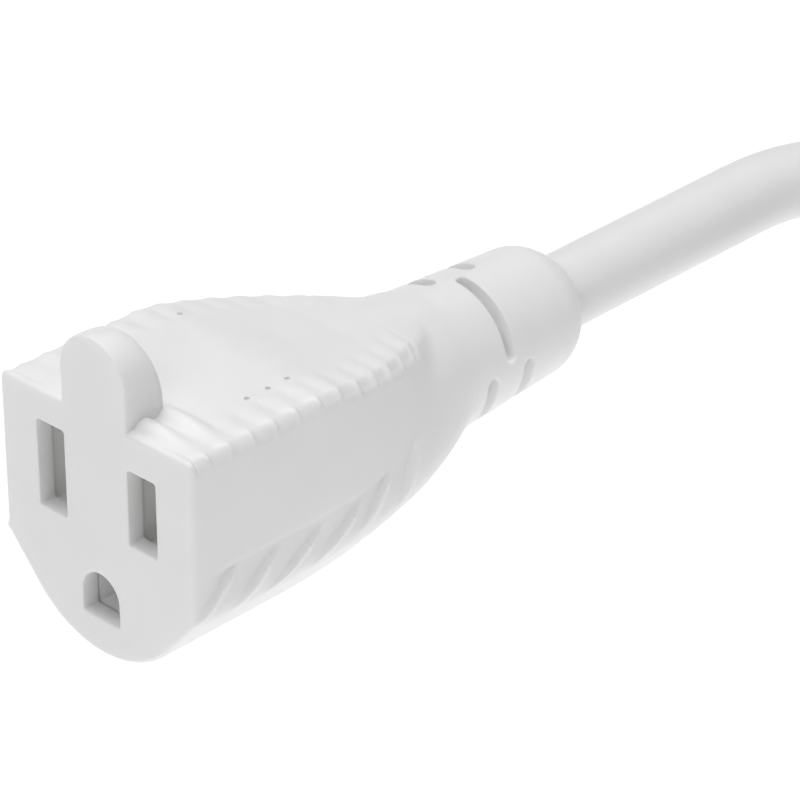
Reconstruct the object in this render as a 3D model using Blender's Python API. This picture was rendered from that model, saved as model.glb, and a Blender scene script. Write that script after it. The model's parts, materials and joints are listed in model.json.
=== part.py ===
"""Three-pin extension cord: moulded socket connector, round cord put away in a coil, moulded plug.

Frame: metres, +Z up. The origin is on the floor under the middle of the connector. The connector's
mating face looks along -Y and its cord leaves along +Y. All lengths below are millimetres, and
each moulding has its own frame: mating face at y = 0, blade slots centred on z = 0.
"""
import math

import bmesh
import bpy
import numpy as np
from mathutils import Euler, Vector

MM = 0.001
GAP = 0.3                      # clearance between neighbouring pieces

# --- contact layout shared by the socket and the plug -------------------------------------------
BLADE_X = 6.35                 # blade centre from the middle plane
GROUND_Z = -11.89              # ground pin below the blades
CORD_Z = -3.9                  # cord axis below the blades

# --- moulding cross section ---------------------------------------------------------------------
HALF_WIDTH = 13.35
TOP_Z = 8.18
BOTTOM_Z = -18.4
EDGE_RADIUS = 0.8
SIDE_FILLET = 4.0
SIDE_FILLET_Z = -8.12
BOTTOM_RADIUS = 12.3
FACE_BEVEL = 0.5

# --- moulding along its length ------------------------------------------------------------------
BODY_LENGTH = 64.0             # connector, mating face to the end of the strain relief
PLUG_LENGTH = 54.0             # the plug is the same moulding with a shorter front
TAPER_START = 14.0
NECK_START = 44.5
TAPER_POWER = 2.5
SHOULDER_START = 17.0          # the top corners curve in from here
SHOULDER_CURVE = 0.01435       # half of one over the shoulder's radius
RAMP_START = 19.0              # the top slopes down to the neck from here
RAMP_SLOPE = 0.2
RAMP_BLEND = 3.0
NECK_RADIUS = 8.1
NECK_END_RADIUS = 7.2
NECK_ROUND_START = 59.7
NECK_TIP_RADIUS = 4.95
SECTION_SIDES = 48

# --- strain relief slots ------------------------------------------------------------------------
SLOT_RINGS = ((47.4, 1.6, 95.0), (50.3, 1.3, 5.0), (53.2, 1.6, 95.0))   # y, width, first angle
SLOT_SPAN = 85.0
SLOT_FLOOR_RADIUS = 5.8
SLOT_CUT_RADIUS = 10.0         # how far out the cutter for the slots reaches

# --- socket face --------------------------------------------------------------------------------
FACE_WALL = 2.0
SLOT_WIDTH = 3.93
NEUTRAL_SLOT_HEIGHT = 9.6
LINE_SLOT_HEIGHT = 8.3
GROUND_HOLE_WIDTH = 5.2
GROUND_HOLE_FLOOR = -14.42
GROUND_MOUTH_END = 5.7         # the ground hole keeps its shape this far in
TAB_WIDTH = 9.0
TAB_TOP = 16.65
TAB_ROOT = 7.5                 # the tab's form starts just inside the moulding
TAB_LENGTH = 5.5

# --- inner pieces -------------------------------------------------------------------------------
CARRIER_HALF_WIDTH = 10.6
CARRIER_TOP = 5.9
CARRIER_STEP = -6.4
CARRIER_STEM_HALF_WIDTH = 4.4
CARRIER_BOTTOM = -15.9
CARRIER_END = 20.9
COVER_START = 21.2
COVER_END = 23.4
LEAF_THICKNESS = 0.6
CONTACT_HALF_HEIGHT = 3.7
CONTACT_END = 19.6
BARREL_OVERHANG = 0.9          # a bare conductor starts this far inside its crimp barrel
BLADE_POCKET_HALF_WIDTH = 2.3
BLADE_POCKET_HALF_HEIGHT = 5.2
SLEEVE_RADIUS = 3.0
SLEEVE_BORE = 2.45
SLEEVE_START = 6.0
SLEEVE_END = 19.0
SLEEVE_FLOOR = 18.3
SLEEVE_SLIT_HALF_WIDTH = 0.45
SLEEVE_SLIT_END = 14.5
GROUND_POCKET_RADIUS = 3.45
COVER_HOLE_RADIUS = 2.1
# One spring leaf from its flared mouth to the end plate: offset from the blade's plane, y.
LEAF_PROFILE = ((1.75, 4.6), (0.62, 6.6), (0.95, 8.4), (1.5, 10.6), (1.5, 17.6), (1.1, 19.0))
CRIMP_RADIUS = 1.15
CRIMP_WALL = 0.45
CRIMP_END = 26.6
CRIMP_OVERLAP = 0.6            # how far a barrel is set into the metal in front of it
WIRE_START = 27.0
WIRE_RADIUS = 1.3
WIRE_BORE = 0.95
CONDUCTOR_RADIUS = 0.62
LAY_RADIUS = 1.68              # the wires' centres from the cord's axis
BORE_CLEARANCE = 0.3
CHAMBER_RADIUS = 2.2           # room round each wire where the three come together

# --- plug blades --------------------------------------------------------------------------------
BLADE_THICKNESS = 1.5
LINE_BLADE_WIDTH = 6.35
NEUTRAL_BLADE_WIDTH = 7.9
BLADE_LENGTH = 17.5
BLADE_HOLE_RADIUS = 1.75
BLADE_HOLE_FROM_TIP = 4.2
BLADE_TIP = 1.2                # length of the chamfered tip
PIN_RADIUS = 2.38
PIN_LENGTH = 20.6
PIN_DOME = ((0.0, 0.5), (0.35, 1.3), (1.1, 1.95), (2.4, PIN_RADIUS))   # from the tip, radius
HOLDER_LENGTH = 9.0
PLUG_CRIMP_END = 16.6
PLUG_WIRE_START = 17.0

# --- cord ---------------------------------------------------------------------------------------
CORD_RADIUS = 4.2
CORD_INSIDE = 24.0             # length of cord inside each strain relief
COIL_MEAN_RADIUS = 47.0
COIL_LAYERS = 3
COIL_COLUMNS = 2
COIL_LIFT = 1.35               # room for the tie under the turns
COIL_CENTRE_Y = 109.0
TIE_THICKNESS = 1.0
TIE_ANGLE = 45.0
TIE_HALF_SPAN = 8.5
TUBE_STEP = 18.0               # distance between the points of a cord's tube

CONNECTOR_PLACE = Vector((0.0, -BODY_LENGTH / 2, -BOTTOM_Z))
COIL_HALF_WIDTH = COIL_COLUMNS * CORD_RADIUS
COIL_OUTSIDE = COIL_MEAN_RADIUS + COIL_HALF_WIDTH
COIL_CENTRE_X = COIL_OUTSIDE - CORD_RADIUS
PLUG_HEIGHT = TOP_Z + 0.05     # the plug lies on its flat top
PLUG_ENTRY = Vector((97.0, 64.0, PLUG_HEIGHT - CORD_Z))
PLUG_TURN = math.radians(12.0)

# The lead runs level out of the connector and comes down to the floor beside the coil.
LEAD_ROUTE = (
    (0.0, 8.0, 14.5), (0.0, 20.0, 14.5), (0.0, 32.0, 14.5), (0.0, 42.0, 14.5), (0.0, 52.0, 14.5),
    (0.0, 60.0, 14.4), (0.0, 67.0, 13.7), (0.0, 73.0, 12.5), (0.0, 78.4, 11.0),
)
# The tail leaves the coil's middle layer level with the plug's strain relief.
TAIL_ROUTE = (
    (98.8, 72.2, 12.4), (97.9, 68.0, 12.2),
)

WHITE_VINYL = ("white_vinyl", (0.80, 0.80, 0.80), 0.45, 0.0)
CORD_JACKET = ("cord_jacket", (0.80, 0.80, 0.80), 0.5, 0.0)
INSERT_PLASTIC = ("insert_plastic", (0.62, 0.62, 0.60), 0.5, 0.0)
BRASS = ("brass", (0.75, 0.58, 0.28), 0.3, 1.0)
NICKEL = ("nickel_plate", (0.72, 0.71, 0.69), 0.25, 1.0)
COPPER = ("copper", (0.72, 0.36, 0.22), 0.35, 1.0)
BLACK_VINYL = ("black_insulation", (0.03, 0.03, 0.03), 0.5, 0.0)
NATURAL_VINYL = ("white_insulation", (0.75, 0.75, 0.73), 0.5, 0.0)
GREEN_VINYL = ("green_insulation", (0.03, 0.30, 0.08), 0.5, 0.0)
TIE_FABRIC = ("tie_fabric", (0.05, 0.05, 0.05), 0.9, 0.0)


# ------------------------------------------------------------------------------------------------
# Blender helpers
# ------------------------------------------------------------------------------------------------
def clear_scene():
    for thing in list(bpy.data.objects):
        bpy.data.objects.remove(thing, do_unlink=True)


def material(spec):
    name, colour, roughness, metallic = spec
    found = bpy.data.materials.get(name)
    if found:
        return found
    made = bpy.data.materials.new(name)
    made.use_nodes = True
    shader = made.node_tree.nodes["Principled BSDF"]
    shader.inputs["Base Color"].default_value = (*colour, 1.0)
    shader.inputs["Roughness"].default_value = roughness
    shader.inputs["Metallic"].default_value = metallic
    return made


def frame_empty(name, place, turn=(0.0, 0.0, 0.0)):
    empty = bpy.data.objects.new(name, None)
    empty.location = place * MM
    empty.rotation_euler = Euler(turn)
    bpy.context.collection.objects.link(empty)
    return empty


def add_mesh(name, verts, faces, parent=None, finish=None):
    """A closed mesh object from points in millimetres, its faces turned outwards."""
    mesh = bpy.data.meshes.new(name)
    mesh.from_pydata([tuple(c * MM for c in v) for v in verts], [], faces)
    work = bmesh.new()
    work.from_mesh(mesh)
    bmesh.ops.recalc_face_normals(work, faces=work.faces)
    work.to_mesh(mesh)
    work.free()
    mesh.shade_smooth()
    mesh.set_sharp_from_angle(angle=math.radians(35))
    thing = bpy.data.objects.new(name, mesh)
    if finish:
        mesh.materials.append(material(finish))
    thing.parent = parent
    bpy.context.collection.objects.link(thing)
    return thing


def boolean(target, tool, operation):
    """Leave a Boolean on the target and keep the tool as a hidden guide."""
    tool.hide_render = True
    tool.display_type = 'WIRE'
    step = target.modifiers.new(tool.name, 'BOOLEAN')
    step.operation = operation
    step.object = tool
    step.solver = 'EXACT'


# ------------------------------------------------------------------------------------------------
# Shapes in a moulding's own frame
# ------------------------------------------------------------------------------------------------
def loft(name, rings, parent=None, finish=None):
    """Skin a list of equal rings of points, closed by a flat cap at each end."""
    count = len(rings[0])
    verts = [p for ring in rings for p in ring]
    last = (len(rings) - 1) * count
    faces = [
        (a + i, a + (i + 1) % count, a + count + (i + 1) % count, a + count + i)
        for a in range(0, last, count) for i in range(count)
    ]
    faces.append(tuple(range(count)))
    faces.append(tuple(range(last, last + count)))
    return add_mesh(name, verts, faces, parent, finish)


def prism(name, outline, y_start, y_end, parent=None, finish=None):
    """An outline of (x, z) points carried straight along y."""
    rings = [[(x, y, z) for x, z in outline] for y in (y_start, y_end)]
    return loft(name, rings, parent, finish)


def box_outline(x_centre, half_width, z_low, z_high):
    return [
        (x_centre - half_width, z_low), (x_centre + half_width, z_low),
        (x_centre + half_width, z_high), (x_centre - half_width, z_high),
    ]


def circle_outline(x_centre, z_centre, radius, sides=24):
    steps = [2 * math.pi * i / sides for i in range(sides)]
    return [(x_centre + radius * math.cos(a), z_centre + radius * math.sin(a)) for a in steps]


def arch_outline(half_width, z_low, z_high, sides=16):
    """Straight sides under a half circle that reaches z_high."""
    z_centre = z_high - half_width
    arc = [math.pi * i / sides for i in range(sides + 1)]
    top = [(half_width * math.cos(a), z_centre + half_width * math.sin(a)) for a in arc]
    return top + [(-half_width, z_low), (half_width, z_low)]


def ground_hole_outline():
    half = GROUND_HOLE_WIDTH / 2
    return arch_outline(half, GROUND_HOLE_FLOOR, GROUND_Z + half)


def stem_outline(grow=0.0):
    """The inner block's T: a wide head for the two blades over a stem for the ground pin."""
    wide = CARRIER_HALF_WIDTH + grow
    stem = CARRIER_STEM_HALF_WIDTH + grow
    top, step, low = CARRIER_TOP + grow, CARRIER_STEP - grow, CARRIER_BOTTOM - grow
    return [
        (-wide, top), (-wide, step), (-stem, step), (-stem, low),
        (stem, low), (stem, step), (wide, step), (wide, top),
    ]


def hull_outline(circles, sides=SECTION_SIDES):
    """Outline of the tight band round some circles, one point for each outward direction."""
    points = []
    for i in range(sides):
        angle = 2 * math.pi * (i + 0.5) / sides
        nx, nz = math.cos(angle), math.sin(angle)
        x, z, r = max(circles, key=lambda c: c[0] * nx + c[1] * nz + c[2])
        points.append((x + r * nx, z + r * nz))
    return points


def strip(name, path, thickness, z_low, z_high, parent=None, finish=None):
    """Sheet metal bent along a path in (x, y), of even thickness, standing from z_low to z_high."""
    line = np.array(path, float)
    run = np.gradient(line, axis=0)
    run /= np.linalg.norm(run, axis=1, keepdims=True)
    side = np.stack([-run[:, 1], run[:, 0]], axis=1) * thickness / 2
    left, right = line + side, line - side
    rings = [
        [(*left[i], z_low), (*right[i], z_low), (*right[i], z_high), (*left[i], z_high)]
        for i in range(len(line))
    ]
    return loft(name, rings, parent, finish)


def tube(name, path, outside, inside, sides=12, parent=None, finish=None):
    """A round rod along a path, or a hollow one, open at both ends, when inside is above zero."""
    line = np.array(path, float)
    run = np.gradient(line, axis=0)
    run /= np.linalg.norm(run, axis=1, keepdims=True)
    across = np.cross(run, (0.0, 0.0, 1.0))
    across /= np.linalg.norm(across, axis=1, keepdims=True)
    up = np.cross(across, run)

    def ring(i, radius):
        turn = [2 * math.pi * k / sides for k in range(sides)]
        return [
            tuple(line[i] + radius * (math.cos(a) * across[i] + math.sin(a) * up[i])) for a in turn
        ]

    outer = [ring(i, outside) for i in range(len(line))]
    if not inside:
        return loft(name, outer, parent, finish)
    inner = [ring(i, inside) for i in reversed(range(len(line)))]
    return closed_loft(name, outer + inner, parent, finish)


def closed_loft(name, rings, parent=None, finish=None):
    """Skin a list of rings and join the last one back to the first."""
    count, total = len(rings[0]), len(rings)
    verts = [p for ring in rings for p in ring]
    faces = []
    for a in range(total):
        b = (a + 1) % total
        for i in range(count):
            j = (i + 1) % count
            faces.append((a * count + i, a * count + j, b * count + j, b * count + i))
    return add_mesh(name, verts, faces, parent, finish)


# ------------------------------------------------------------------------------------------------
# The moulding: a D section that narrows to a round, slotted strain relief
# ------------------------------------------------------------------------------------------------
def section_circles(y, shrink=0.0):
    """The circles (x, z, radius) whose tight band is the moulding's outline at y."""
    if y >= NECK_START:
        return [(0.0, CORD_Z, neck_radius(y) - shrink)]
    share = max(0.0, (y - TAPER_START) / (NECK_START - TAPER_START))
    keep = 1.0 - share ** TAPER_POWER
    side_x = keep * (HALF_WIDTH - SIDE_FILLET)
    side_z = CORD_Z + keep * (SIDE_FILLET_Z - CORD_Z)
    side_r = NECK_RADIUS + keep * (SIDE_FILLET - NECK_RADIUS) - shrink
    low_z = CORD_Z + keep * (BOTTOM_Z + BOTTOM_RADIUS - CORD_Z)
    low_r = NECK_RADIUS + keep * (BOTTOM_RADIUS - NECK_RADIUS) - shrink
    past = max(0.0, y - SHOULDER_START)
    corner_x = HALF_WIDTH - SHOULDER_CURVE * past ** 2
    corner_z = TOP_Z - ramp_drop(y)
    corner_r = EDGE_RADIUS * (1.0 + 1.5 * past / (NECK_START - SHOULDER_START))
    top_x, top_z = max(0.0, corner_x - corner_r), corner_z - corner_r
    corner_r -= shrink
    return [
        (side_x, side_z, side_r), (-side_x, side_z, side_r), (0.0, low_z, low_r),
        (top_x, top_z, corner_r), (-top_x, top_z, corner_r),
    ]


def ramp_drop(y):
    """How far the top has come down at y: a straight ramp with a rounded start."""
    past = max(0.0, y - RAMP_START + RAMP_BLEND / 2)
    if past < RAMP_BLEND:
        return RAMP_SLOPE * past ** 2 / (2 * RAMP_BLEND)
    return RAMP_SLOPE * (past - RAMP_BLEND / 2)


def neck_radius(y):
    """A slight cone with a rounded end."""
    if y <= NECK_ROUND_START:
        share = (y - NECK_START) / (NECK_ROUND_START - NECK_START)
        return NECK_RADIUS - (NECK_RADIUS - NECK_END_RADIUS) * share
    share = (y - NECK_ROUND_START) / (BODY_LENGTH - NECK_ROUND_START)
    return NECK_END_RADIUS - (NECK_END_RADIUS - NECK_TIP_RADIUS) * share ** 2


def moulding_stations(front):
    """Distances along the connector where the section is drawn, from the face at front."""
    body = [14.0, 17.0, 20.0, 23.0, 26.0, 29.0, 32.0, 34.5, 37.0, 39.0, 41.0, 42.5, 43.6]
    neck = [NECK_START, 49.0, 56.0, NECK_ROUND_START, 61.2, 62.4, 63.3, BODY_LENGTH]
    return [front + FACE_BEVEL] + [y for y in body if y > front + 1.0] + neck


def moulding(name, front, parent):
    """The outer form, its mating face moved to y = 0 of its own frame."""
    face = [(x, 0.0, z) for x, z in hull_outline(section_circles(front, FACE_BEVEL))]
    rings = [face]
    for y in moulding_stations(front):
        rings.append([(x, y - front, z) for x, z in hull_outline(section_circles(y))])
    return loft(name, rings, parent, WHITE_VINYL)


def strain_relief_slots(name, front, parent):
    """Quarter slots round the strain relief; opposite quarters are cut in turn."""
    verts, faces = [], []
    steps = 8
    for y, width, first in SLOT_RINGS:
        for start in (first, first + 180.0):
            base = len(verts)
            for i in range(steps + 1):
                angle = math.radians(start + SLOT_SPAN * i / steps)
                for radius, dy in (
                    (SLOT_FLOOR_RADIUS, -width / 2), (SLOT_CUT_RADIUS, -width / 2),
                    (SLOT_CUT_RADIUS, width / 2), (SLOT_FLOOR_RADIUS, width / 2),
                ):
                    x, z = radius * math.cos(angle), CORD_Z + radius * math.sin(angle)
                    verts.append((x, y - front + dy, z))
            for i in range(steps):
                for k in range(4):
                    a, b = base + 4 * i + k, base + 4 * i + (k + 1) % 4
                    faces.append((a, b, b + 4, a + 4))
            faces.append((base, base + 1, base + 2, base + 3))
            faces.append(tuple(base + 4 * steps + k for k in range(4)))
    return add_mesh(name, verts, faces, parent)


def wire_places():
    """Name, insulation finish and contact position of each of the three wires."""
    return (
        ("line", BLACK_VINYL, 1, 0.0, 30.0),
        ("neutral", NATURAL_VINYL, -1, 0.0, 150.0),
        ("ground", GREEN_VINYL, 0, GROUND_Z, 270.0),
    )


def wire_path(x, z, lay_angle, y_start, y_end, count=8):
    """A smooth run from a contact to the wire's place in the cord's bundle."""
    angle = math.radians(lay_angle)
    end_x, end_z = LAY_RADIUS * math.cos(angle), CORD_Z + LAY_RADIUS * math.sin(angle)
    points = []
    for i in range(count):
        s = i / (count - 1)
        blend = s * s * (3 - 2 * s)
        y = y_start + (y_end - y_start) * s
        points.append((x + (end_x - x) * blend, y, z + (end_z - z) * blend))
    return points


def chamber(name, y_start, wire_start, y_end, parent):
    """The hollow round the three wires, which narrows as they come together."""
    paths = [
        wire_path(side * BLADE_X, z, lay, wire_start, y_end) for _, _, side, z, lay in wire_places()
    ]
    bundles = [[(x, z, CHAMBER_RADIUS) for x, _, z in places] for places in zip(*paths)]
    stations = [y_start] + [y for _, y, _ in paths[0]]
    rings = [
        [(x, y, z) for x, z in hull_outline(circles, 24)]
        for y, circles in zip(stations, bundles[:1] + bundles)
    ]
    return loft(name, rings, parent)


def wires(prefix, parent, barrel_end, wire_start, cord_start, mirror=1):
    """Insulation and bare conductor of each wire, from its crimp barrel to the cord's end."""
    for label, finish, side, z, lay in wire_places():
        x = side * mirror * BLADE_X
        lay_angle = lay if mirror > 0 else 180.0 - lay
        path = wire_path(x, z, lay_angle, wire_start, cord_start - GAP)
        tube(f"{prefix}_{label}_insulation", path, WIRE_RADIUS, WIRE_BORE, 10, parent, finish)
        bare = [(x, barrel_end, z)] + path
        tube(f"{prefix}_{label}_conductor", bare, CONDUCTOR_RADIUS, 0.0, 8, parent, COPPER)


def cut_cord_bore(body, name, length, parent):
    """Bore the strain relief from its end to where the wires leave the jacket."""
    outline = circle_outline(0, CORD_Z, CORD_RADIUS + BORE_CLEARANCE)
    bore = prism(name, outline, length - CORD_INSIDE - 1, length + 1, parent)
    boolean(body, bore, 'DIFFERENCE')


# ------------------------------------------------------------------------------------------------
# Connector
# ------------------------------------------------------------------------------------------------
def finger_tab(parent):
    """An arch that gets lower and narrower towards the back, along rounded (superellipse) lines."""
    rings = []
    for degrees in (0, 20, 38, 54, 68, 78, 85, 89):
        angle = math.radians(degrees)
        back = math.sin(angle) ** 0.5
        top = TAB_ROOT + (TAB_TOP - TAB_ROOT) * math.cos(angle) ** 0.5
        half = min(TAB_WIDTH / 2 * (1 - back ** 10) ** 0.1, (top - TAB_ROOT) * 0.9)
        rings.append([(x, back * TAB_LENGTH, z) for x, z in arch_outline(half, TAB_ROOT, top)])
    return loft("tab_form", rings, parent)


def connector_body(parent):
    body = moulding("connector_body", 0.0, parent)
    boolean(body, finger_tab(parent), 'UNION')
    boolean(body, strain_relief_slots("strain_relief_cutter", 0.0, parent), 'DIFFERENCE')
    cavity = prism("carrier_cavity", stem_outline(GAP), FACE_WALL, COVER_END + GAP, parent)
    boolean(body, cavity, 'DIFFERENCE')
    room = chamber("wire_chamber", COVER_END, WIRE_START, BODY_LENGTH - CORD_INSIDE, parent)
    boolean(body, room, 'DIFFERENCE')
    cut_cord_bore(body, "cord_bore", BODY_LENGTH, parent)
    for name, x, height in (
        ("neutral_slot", -BLADE_X, NEUTRAL_SLOT_HEIGHT), ("line_slot", BLADE_X, LINE_SLOT_HEIGHT),
    ):
        outline = box_outline(x, SLOT_WIDTH / 2, -height / 2, height / 2)
        boolean(body, prism(name, outline, -1.0, FACE_WALL + 0.5, parent), 'DIFFERENCE')
    hole = prism("ground_hole", ground_hole_outline(), -1.0, FACE_WALL + 0.5, parent)
    boolean(body, hole, 'DIFFERENCE')


def contact_carrier(parent):
    """The inner block that holds the three contacts, and the cover that closes its back."""
    block = prism("contact_carrier", stem_outline(), FACE_WALL + GAP, CARRIER_END, parent, INSERT_PLASTIC)
    high = BLADE_POCKET_HALF_HEIGHT
    for name, outline, start in (
        ("line_pocket", box_outline(BLADE_X, BLADE_POCKET_HALF_WIDTH, -high, high), 0.0),
        ("neutral_pocket", box_outline(-BLADE_X, BLADE_POCKET_HALF_WIDTH, -high, high), 0.0),
        ("ground_mouth", ground_hole_outline(), 0.0),
        ("ground_pocket", circle_outline(0, GROUND_Z, GROUND_POCKET_RADIUS), GROUND_MOUTH_END),
    ):
        boolean(block, prism(name, outline, start, CARRIER_END + 1, parent), 'DIFFERENCE')
    cover = prism("carrier_cover", stem_outline(), COVER_START, COVER_END, parent, INSERT_PLASTIC)
    for label, _, side, z, _ in wire_places():
        outline = circle_outline(side * BLADE_X, z, COVER_HOLE_RADIUS, 20)
        hole = prism(f"{label}_cover_hole", outline, COVER_START - 1, COVER_END + 1, parent)
        boolean(cover, hole, 'DIFFERENCE')


def crimp_barrel(name, x, z, y_start, y_end, parent):
    """An open barrel of rolled sheet: a C section along y, closed enough to grip a conductor."""
    outer, inner = CRIMP_RADIUS + CRIMP_WALL, CRIMP_RADIUS
    arc = [math.radians(110 + 320 * i / 14) for i in range(15)]
    outline = [(x + outer * math.cos(a), z + outer * math.sin(a)) for a in arc]
    outline += [(x + inner * math.cos(a), z + inner * math.sin(a)) for a in reversed(arc)]
    return prism(name, outline, y_start, y_end, parent)


def blade_contact(name, x, parent):
    """A fork of two spring leaves that pinch a blade, with a crimp barrel behind."""
    path = [(x + dx, y) for dx, y in LEAF_PROFILE] + [(x, CONTACT_END - LEAF_THICKNESS / 2)]
    path += [(x - dx, y) for dx, y in reversed(LEAF_PROFILE)]
    high = CONTACT_HALF_HEIGHT
    fork = strip(name, path, LEAF_THICKNESS, -high, high, parent, BRASS)
    barrel = crimp_barrel(f"{name}_barrel", x, 0.0, CONTACT_END - CRIMP_OVERLAP, CRIMP_END, parent)
    boolean(fork, barrel, 'UNION')


def ground_contact(parent):
    """A slit sleeve round the ground pin's space, with an end plate and a crimp barrel."""
    outline = circle_outline(0, GROUND_Z, SLEEVE_RADIUS, 28)
    sleeve = prism("ground_contact", outline, SLEEVE_START, SLEEVE_END, parent, BRASS)
    bore_outline = circle_outline(0, GROUND_Z, SLEEVE_BORE, 28)
    bore = prism("ground_contact_bore", bore_outline, SLEEVE_START - 1, SLEEVE_FLOOR, parent)
    boolean(sleeve, bore, 'DIFFERENCE')
    slit_outline = box_outline(0, SLEEVE_SLIT_HALF_WIDTH, GROUND_Z - 4, GROUND_Z + 4)
    slit = prism("ground_contact_slit", slit_outline, SLEEVE_START - 1, SLEEVE_SLIT_END, parent)
    boolean(sleeve, slit, 'DIFFERENCE')
    barrel_start = SLEEVE_FLOOR + LEAF_THICKNESS / 2
    barrel = crimp_barrel("ground_contact_barrel", 0, GROUND_Z, barrel_start, CRIMP_END, parent)
    boolean(sleeve, barrel, 'UNION')


def connector():
    frame = frame_empty("connector_frame", CONNECTOR_PLACE)
    connector_body(frame)
    contact_carrier(frame)
    blade_contact("line_contact", BLADE_X, frame)
    blade_contact("neutral_contact", -BLADE_X, frame)
    ground_contact(frame)
    bare_start = CONTACT_END + BARREL_OVERHANG
    wires("connector", frame, bare_start, WIRE_START, BODY_LENGTH - CORD_INSIDE)


# ------------------------------------------------------------------------------------------------
# Plug
# ------------------------------------------------------------------------------------------------
def seat_outlines():
    """Name and outline of the opening that each blade and the ground pin stand in."""
    thick = BLADE_THICKNESS / 2 + GAP
    line, neutral = LINE_BLADE_WIDTH / 2 + GAP, NEUTRAL_BLADE_WIDTH / 2 + GAP
    return (
        ("line", box_outline(-BLADE_X, thick, -line, line)),
        ("neutral", box_outline(BLADE_X, thick, -neutral, neutral)),
        ("ground", circle_outline(0, GROUND_Z, PIN_RADIUS + GAP, 20)),
    )


def plug_body(parent):
    front = BODY_LENGTH - PLUG_LENGTH
    body = moulding("plug_body", front, parent)
    boolean(body, strain_relief_slots("plug_relief_cutter", front, parent), 'DIFFERENCE')
    cavity_end = FACE_WALL + HOLDER_LENGTH + 3 * GAP + CRIMP_OVERLAP
    cavity = prism("holder_cavity", stem_outline(GAP), FACE_WALL, cavity_end, parent)
    boolean(body, cavity, 'DIFFERENCE')
    room_start, room_end = cavity_end - GAP, PLUG_LENGTH - CORD_INSIDE
    room = chamber("plug_wire_chamber", room_start, PLUG_WIRE_START, room_end, parent)
    boolean(body, room, 'DIFFERENCE')
    cut_cord_bore(body, "plug_cord_bore", PLUG_LENGTH, parent)
    for label, outline in seat_outlines():
        window = prism(f"plug_{label}_window", outline, -1.0, FACE_WALL + 0.5, parent)
        boolean(body, window, 'DIFFERENCE')


def blade_holder(parent):
    """The inner block that the blades and the ground pin are set in."""
    start = FACE_WALL + GAP
    end = start + HOLDER_LENGTH
    holder = prism("blade_holder", stem_outline(), start, end, parent, INSERT_PLASTIC)
    for label, outline in seat_outlines():
        boolean(holder, prism(f"{label}_seat", outline, 0.0, end + 1, parent), 'DIFFERENCE')


def plug_blade(label, side, width, root, parent):
    """A flat blade with a chamfered tip, a hole near it, and a crimp barrel at its root."""
    x, half = side * BLADE_X, BLADE_THICKNESS / 2
    rings = [
        [(x - a, y, -b), (x + a, y, -b), (x + a, y, b), (x - a, y, b)]
        for y, a, b in (
            (-BLADE_LENGTH, half * 0.35, width / 2 - BLADE_TIP),
            (-BLADE_LENGTH + BLADE_TIP, half, width / 2),
            (root + CRIMP_OVERLAP, half, width / 2),
        )
    ]
    blade = loft(f"{label}_blade", rings, parent, NICKEL)
    hole = circle_outline(BLADE_HOLE_FROM_TIP - BLADE_LENGTH, 0, BLADE_HOLE_RADIUS, 20)
    ends = [[(x + dx, y, z) for y, z in hole] for dx in (-2.0, 2.0)]
    boolean(blade, loft(f"{label}_blade_hole", ends, parent), 'DIFFERENCE')
    barrel = crimp_barrel(f"{label}_blade_barrel", x, 0.0, root, PLUG_CRIMP_END, parent)
    boolean(blade, barrel, 'UNION')


def ground_pin(root, parent):
    """A round pin with a domed tip and a crimp barrel at its root."""
    profile = [(dy - PIN_LENGTH, radius) for dy, radius in PIN_DOME]
    profile.append((root + CRIMP_OVERLAP, PIN_RADIUS))
    rings = [[(x, y, z) for x, z in circle_outline(0, GROUND_Z, r, 20)] for y, r in profile]
    pin = loft("ground_pin", rings, parent, NICKEL)
    barrel = crimp_barrel("ground_pin_barrel", 0.0, GROUND_Z, root, PLUG_CRIMP_END, parent)
    boolean(pin, barrel, 'UNION')


def plug():
    """The plug lies on its flat top, its blades pointing back along the connector."""
    facing = Euler((0.0, math.pi, -PLUG_TURN))
    cord_end = Vector((0.0, PLUG_LENGTH, CORD_Z))
    cord_end.rotate(facing)
    frame = frame_empty("plug_frame", PLUG_ENTRY - cord_end, facing)
    plug_body(frame)
    blade_holder(frame)
    root = FACE_WALL + GAP + HOLDER_LENGTH + GAP
    plug_blade("line", -1, LINE_BLADE_WIDTH, root, frame)
    plug_blade("neutral", 1, NEUTRAL_BLADE_WIDTH, root, frame)
    ground_pin(root, frame)
    bare_start = root + CRIMP_OVERLAP + GAP
    wires("plug", frame, bare_start, PLUG_WIRE_START, PLUG_LENGTH - CORD_INSIDE, -1)


# ------------------------------------------------------------------------------------------------
# Cord
# ------------------------------------------------------------------------------------------------
def smooth_route(points, step):
    """Points every step along a Catmull-Rom curve through the route's own points."""
    knots = np.array(points, float)
    padded = np.vstack([2 * knots[0] - knots[1], knots, 2 * knots[-1] - knots[-2]])
    fine = []
    for i in range(1, len(padded) - 2):
        p0, p1, p2, p3 = padded[i - 1:i + 3]
        for t in np.linspace(0.0, 1.0, 12, endpoint=False):
            bend = (2 * p0 - 5 * p1 + 4 * p2 - p3) * t ** 2
            twist = (3 * p1 - p0 - 3 * p2 + p3) * t ** 3
            fine.append(0.5 * (2 * p1 + (p2 - p0) * t + bend + twist))
    fine.append(knots[-1])
    fine = np.array(fine)
    along = np.concatenate([[0.0], np.cumsum(np.linalg.norm(np.diff(fine, axis=0), axis=1))])
    at = np.linspace(0.0, along[-1], max(2, round(along[-1] / step) + 1))
    return np.stack([np.interp(at, along, fine[:, k]) for k in range(3)], axis=1)


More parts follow.
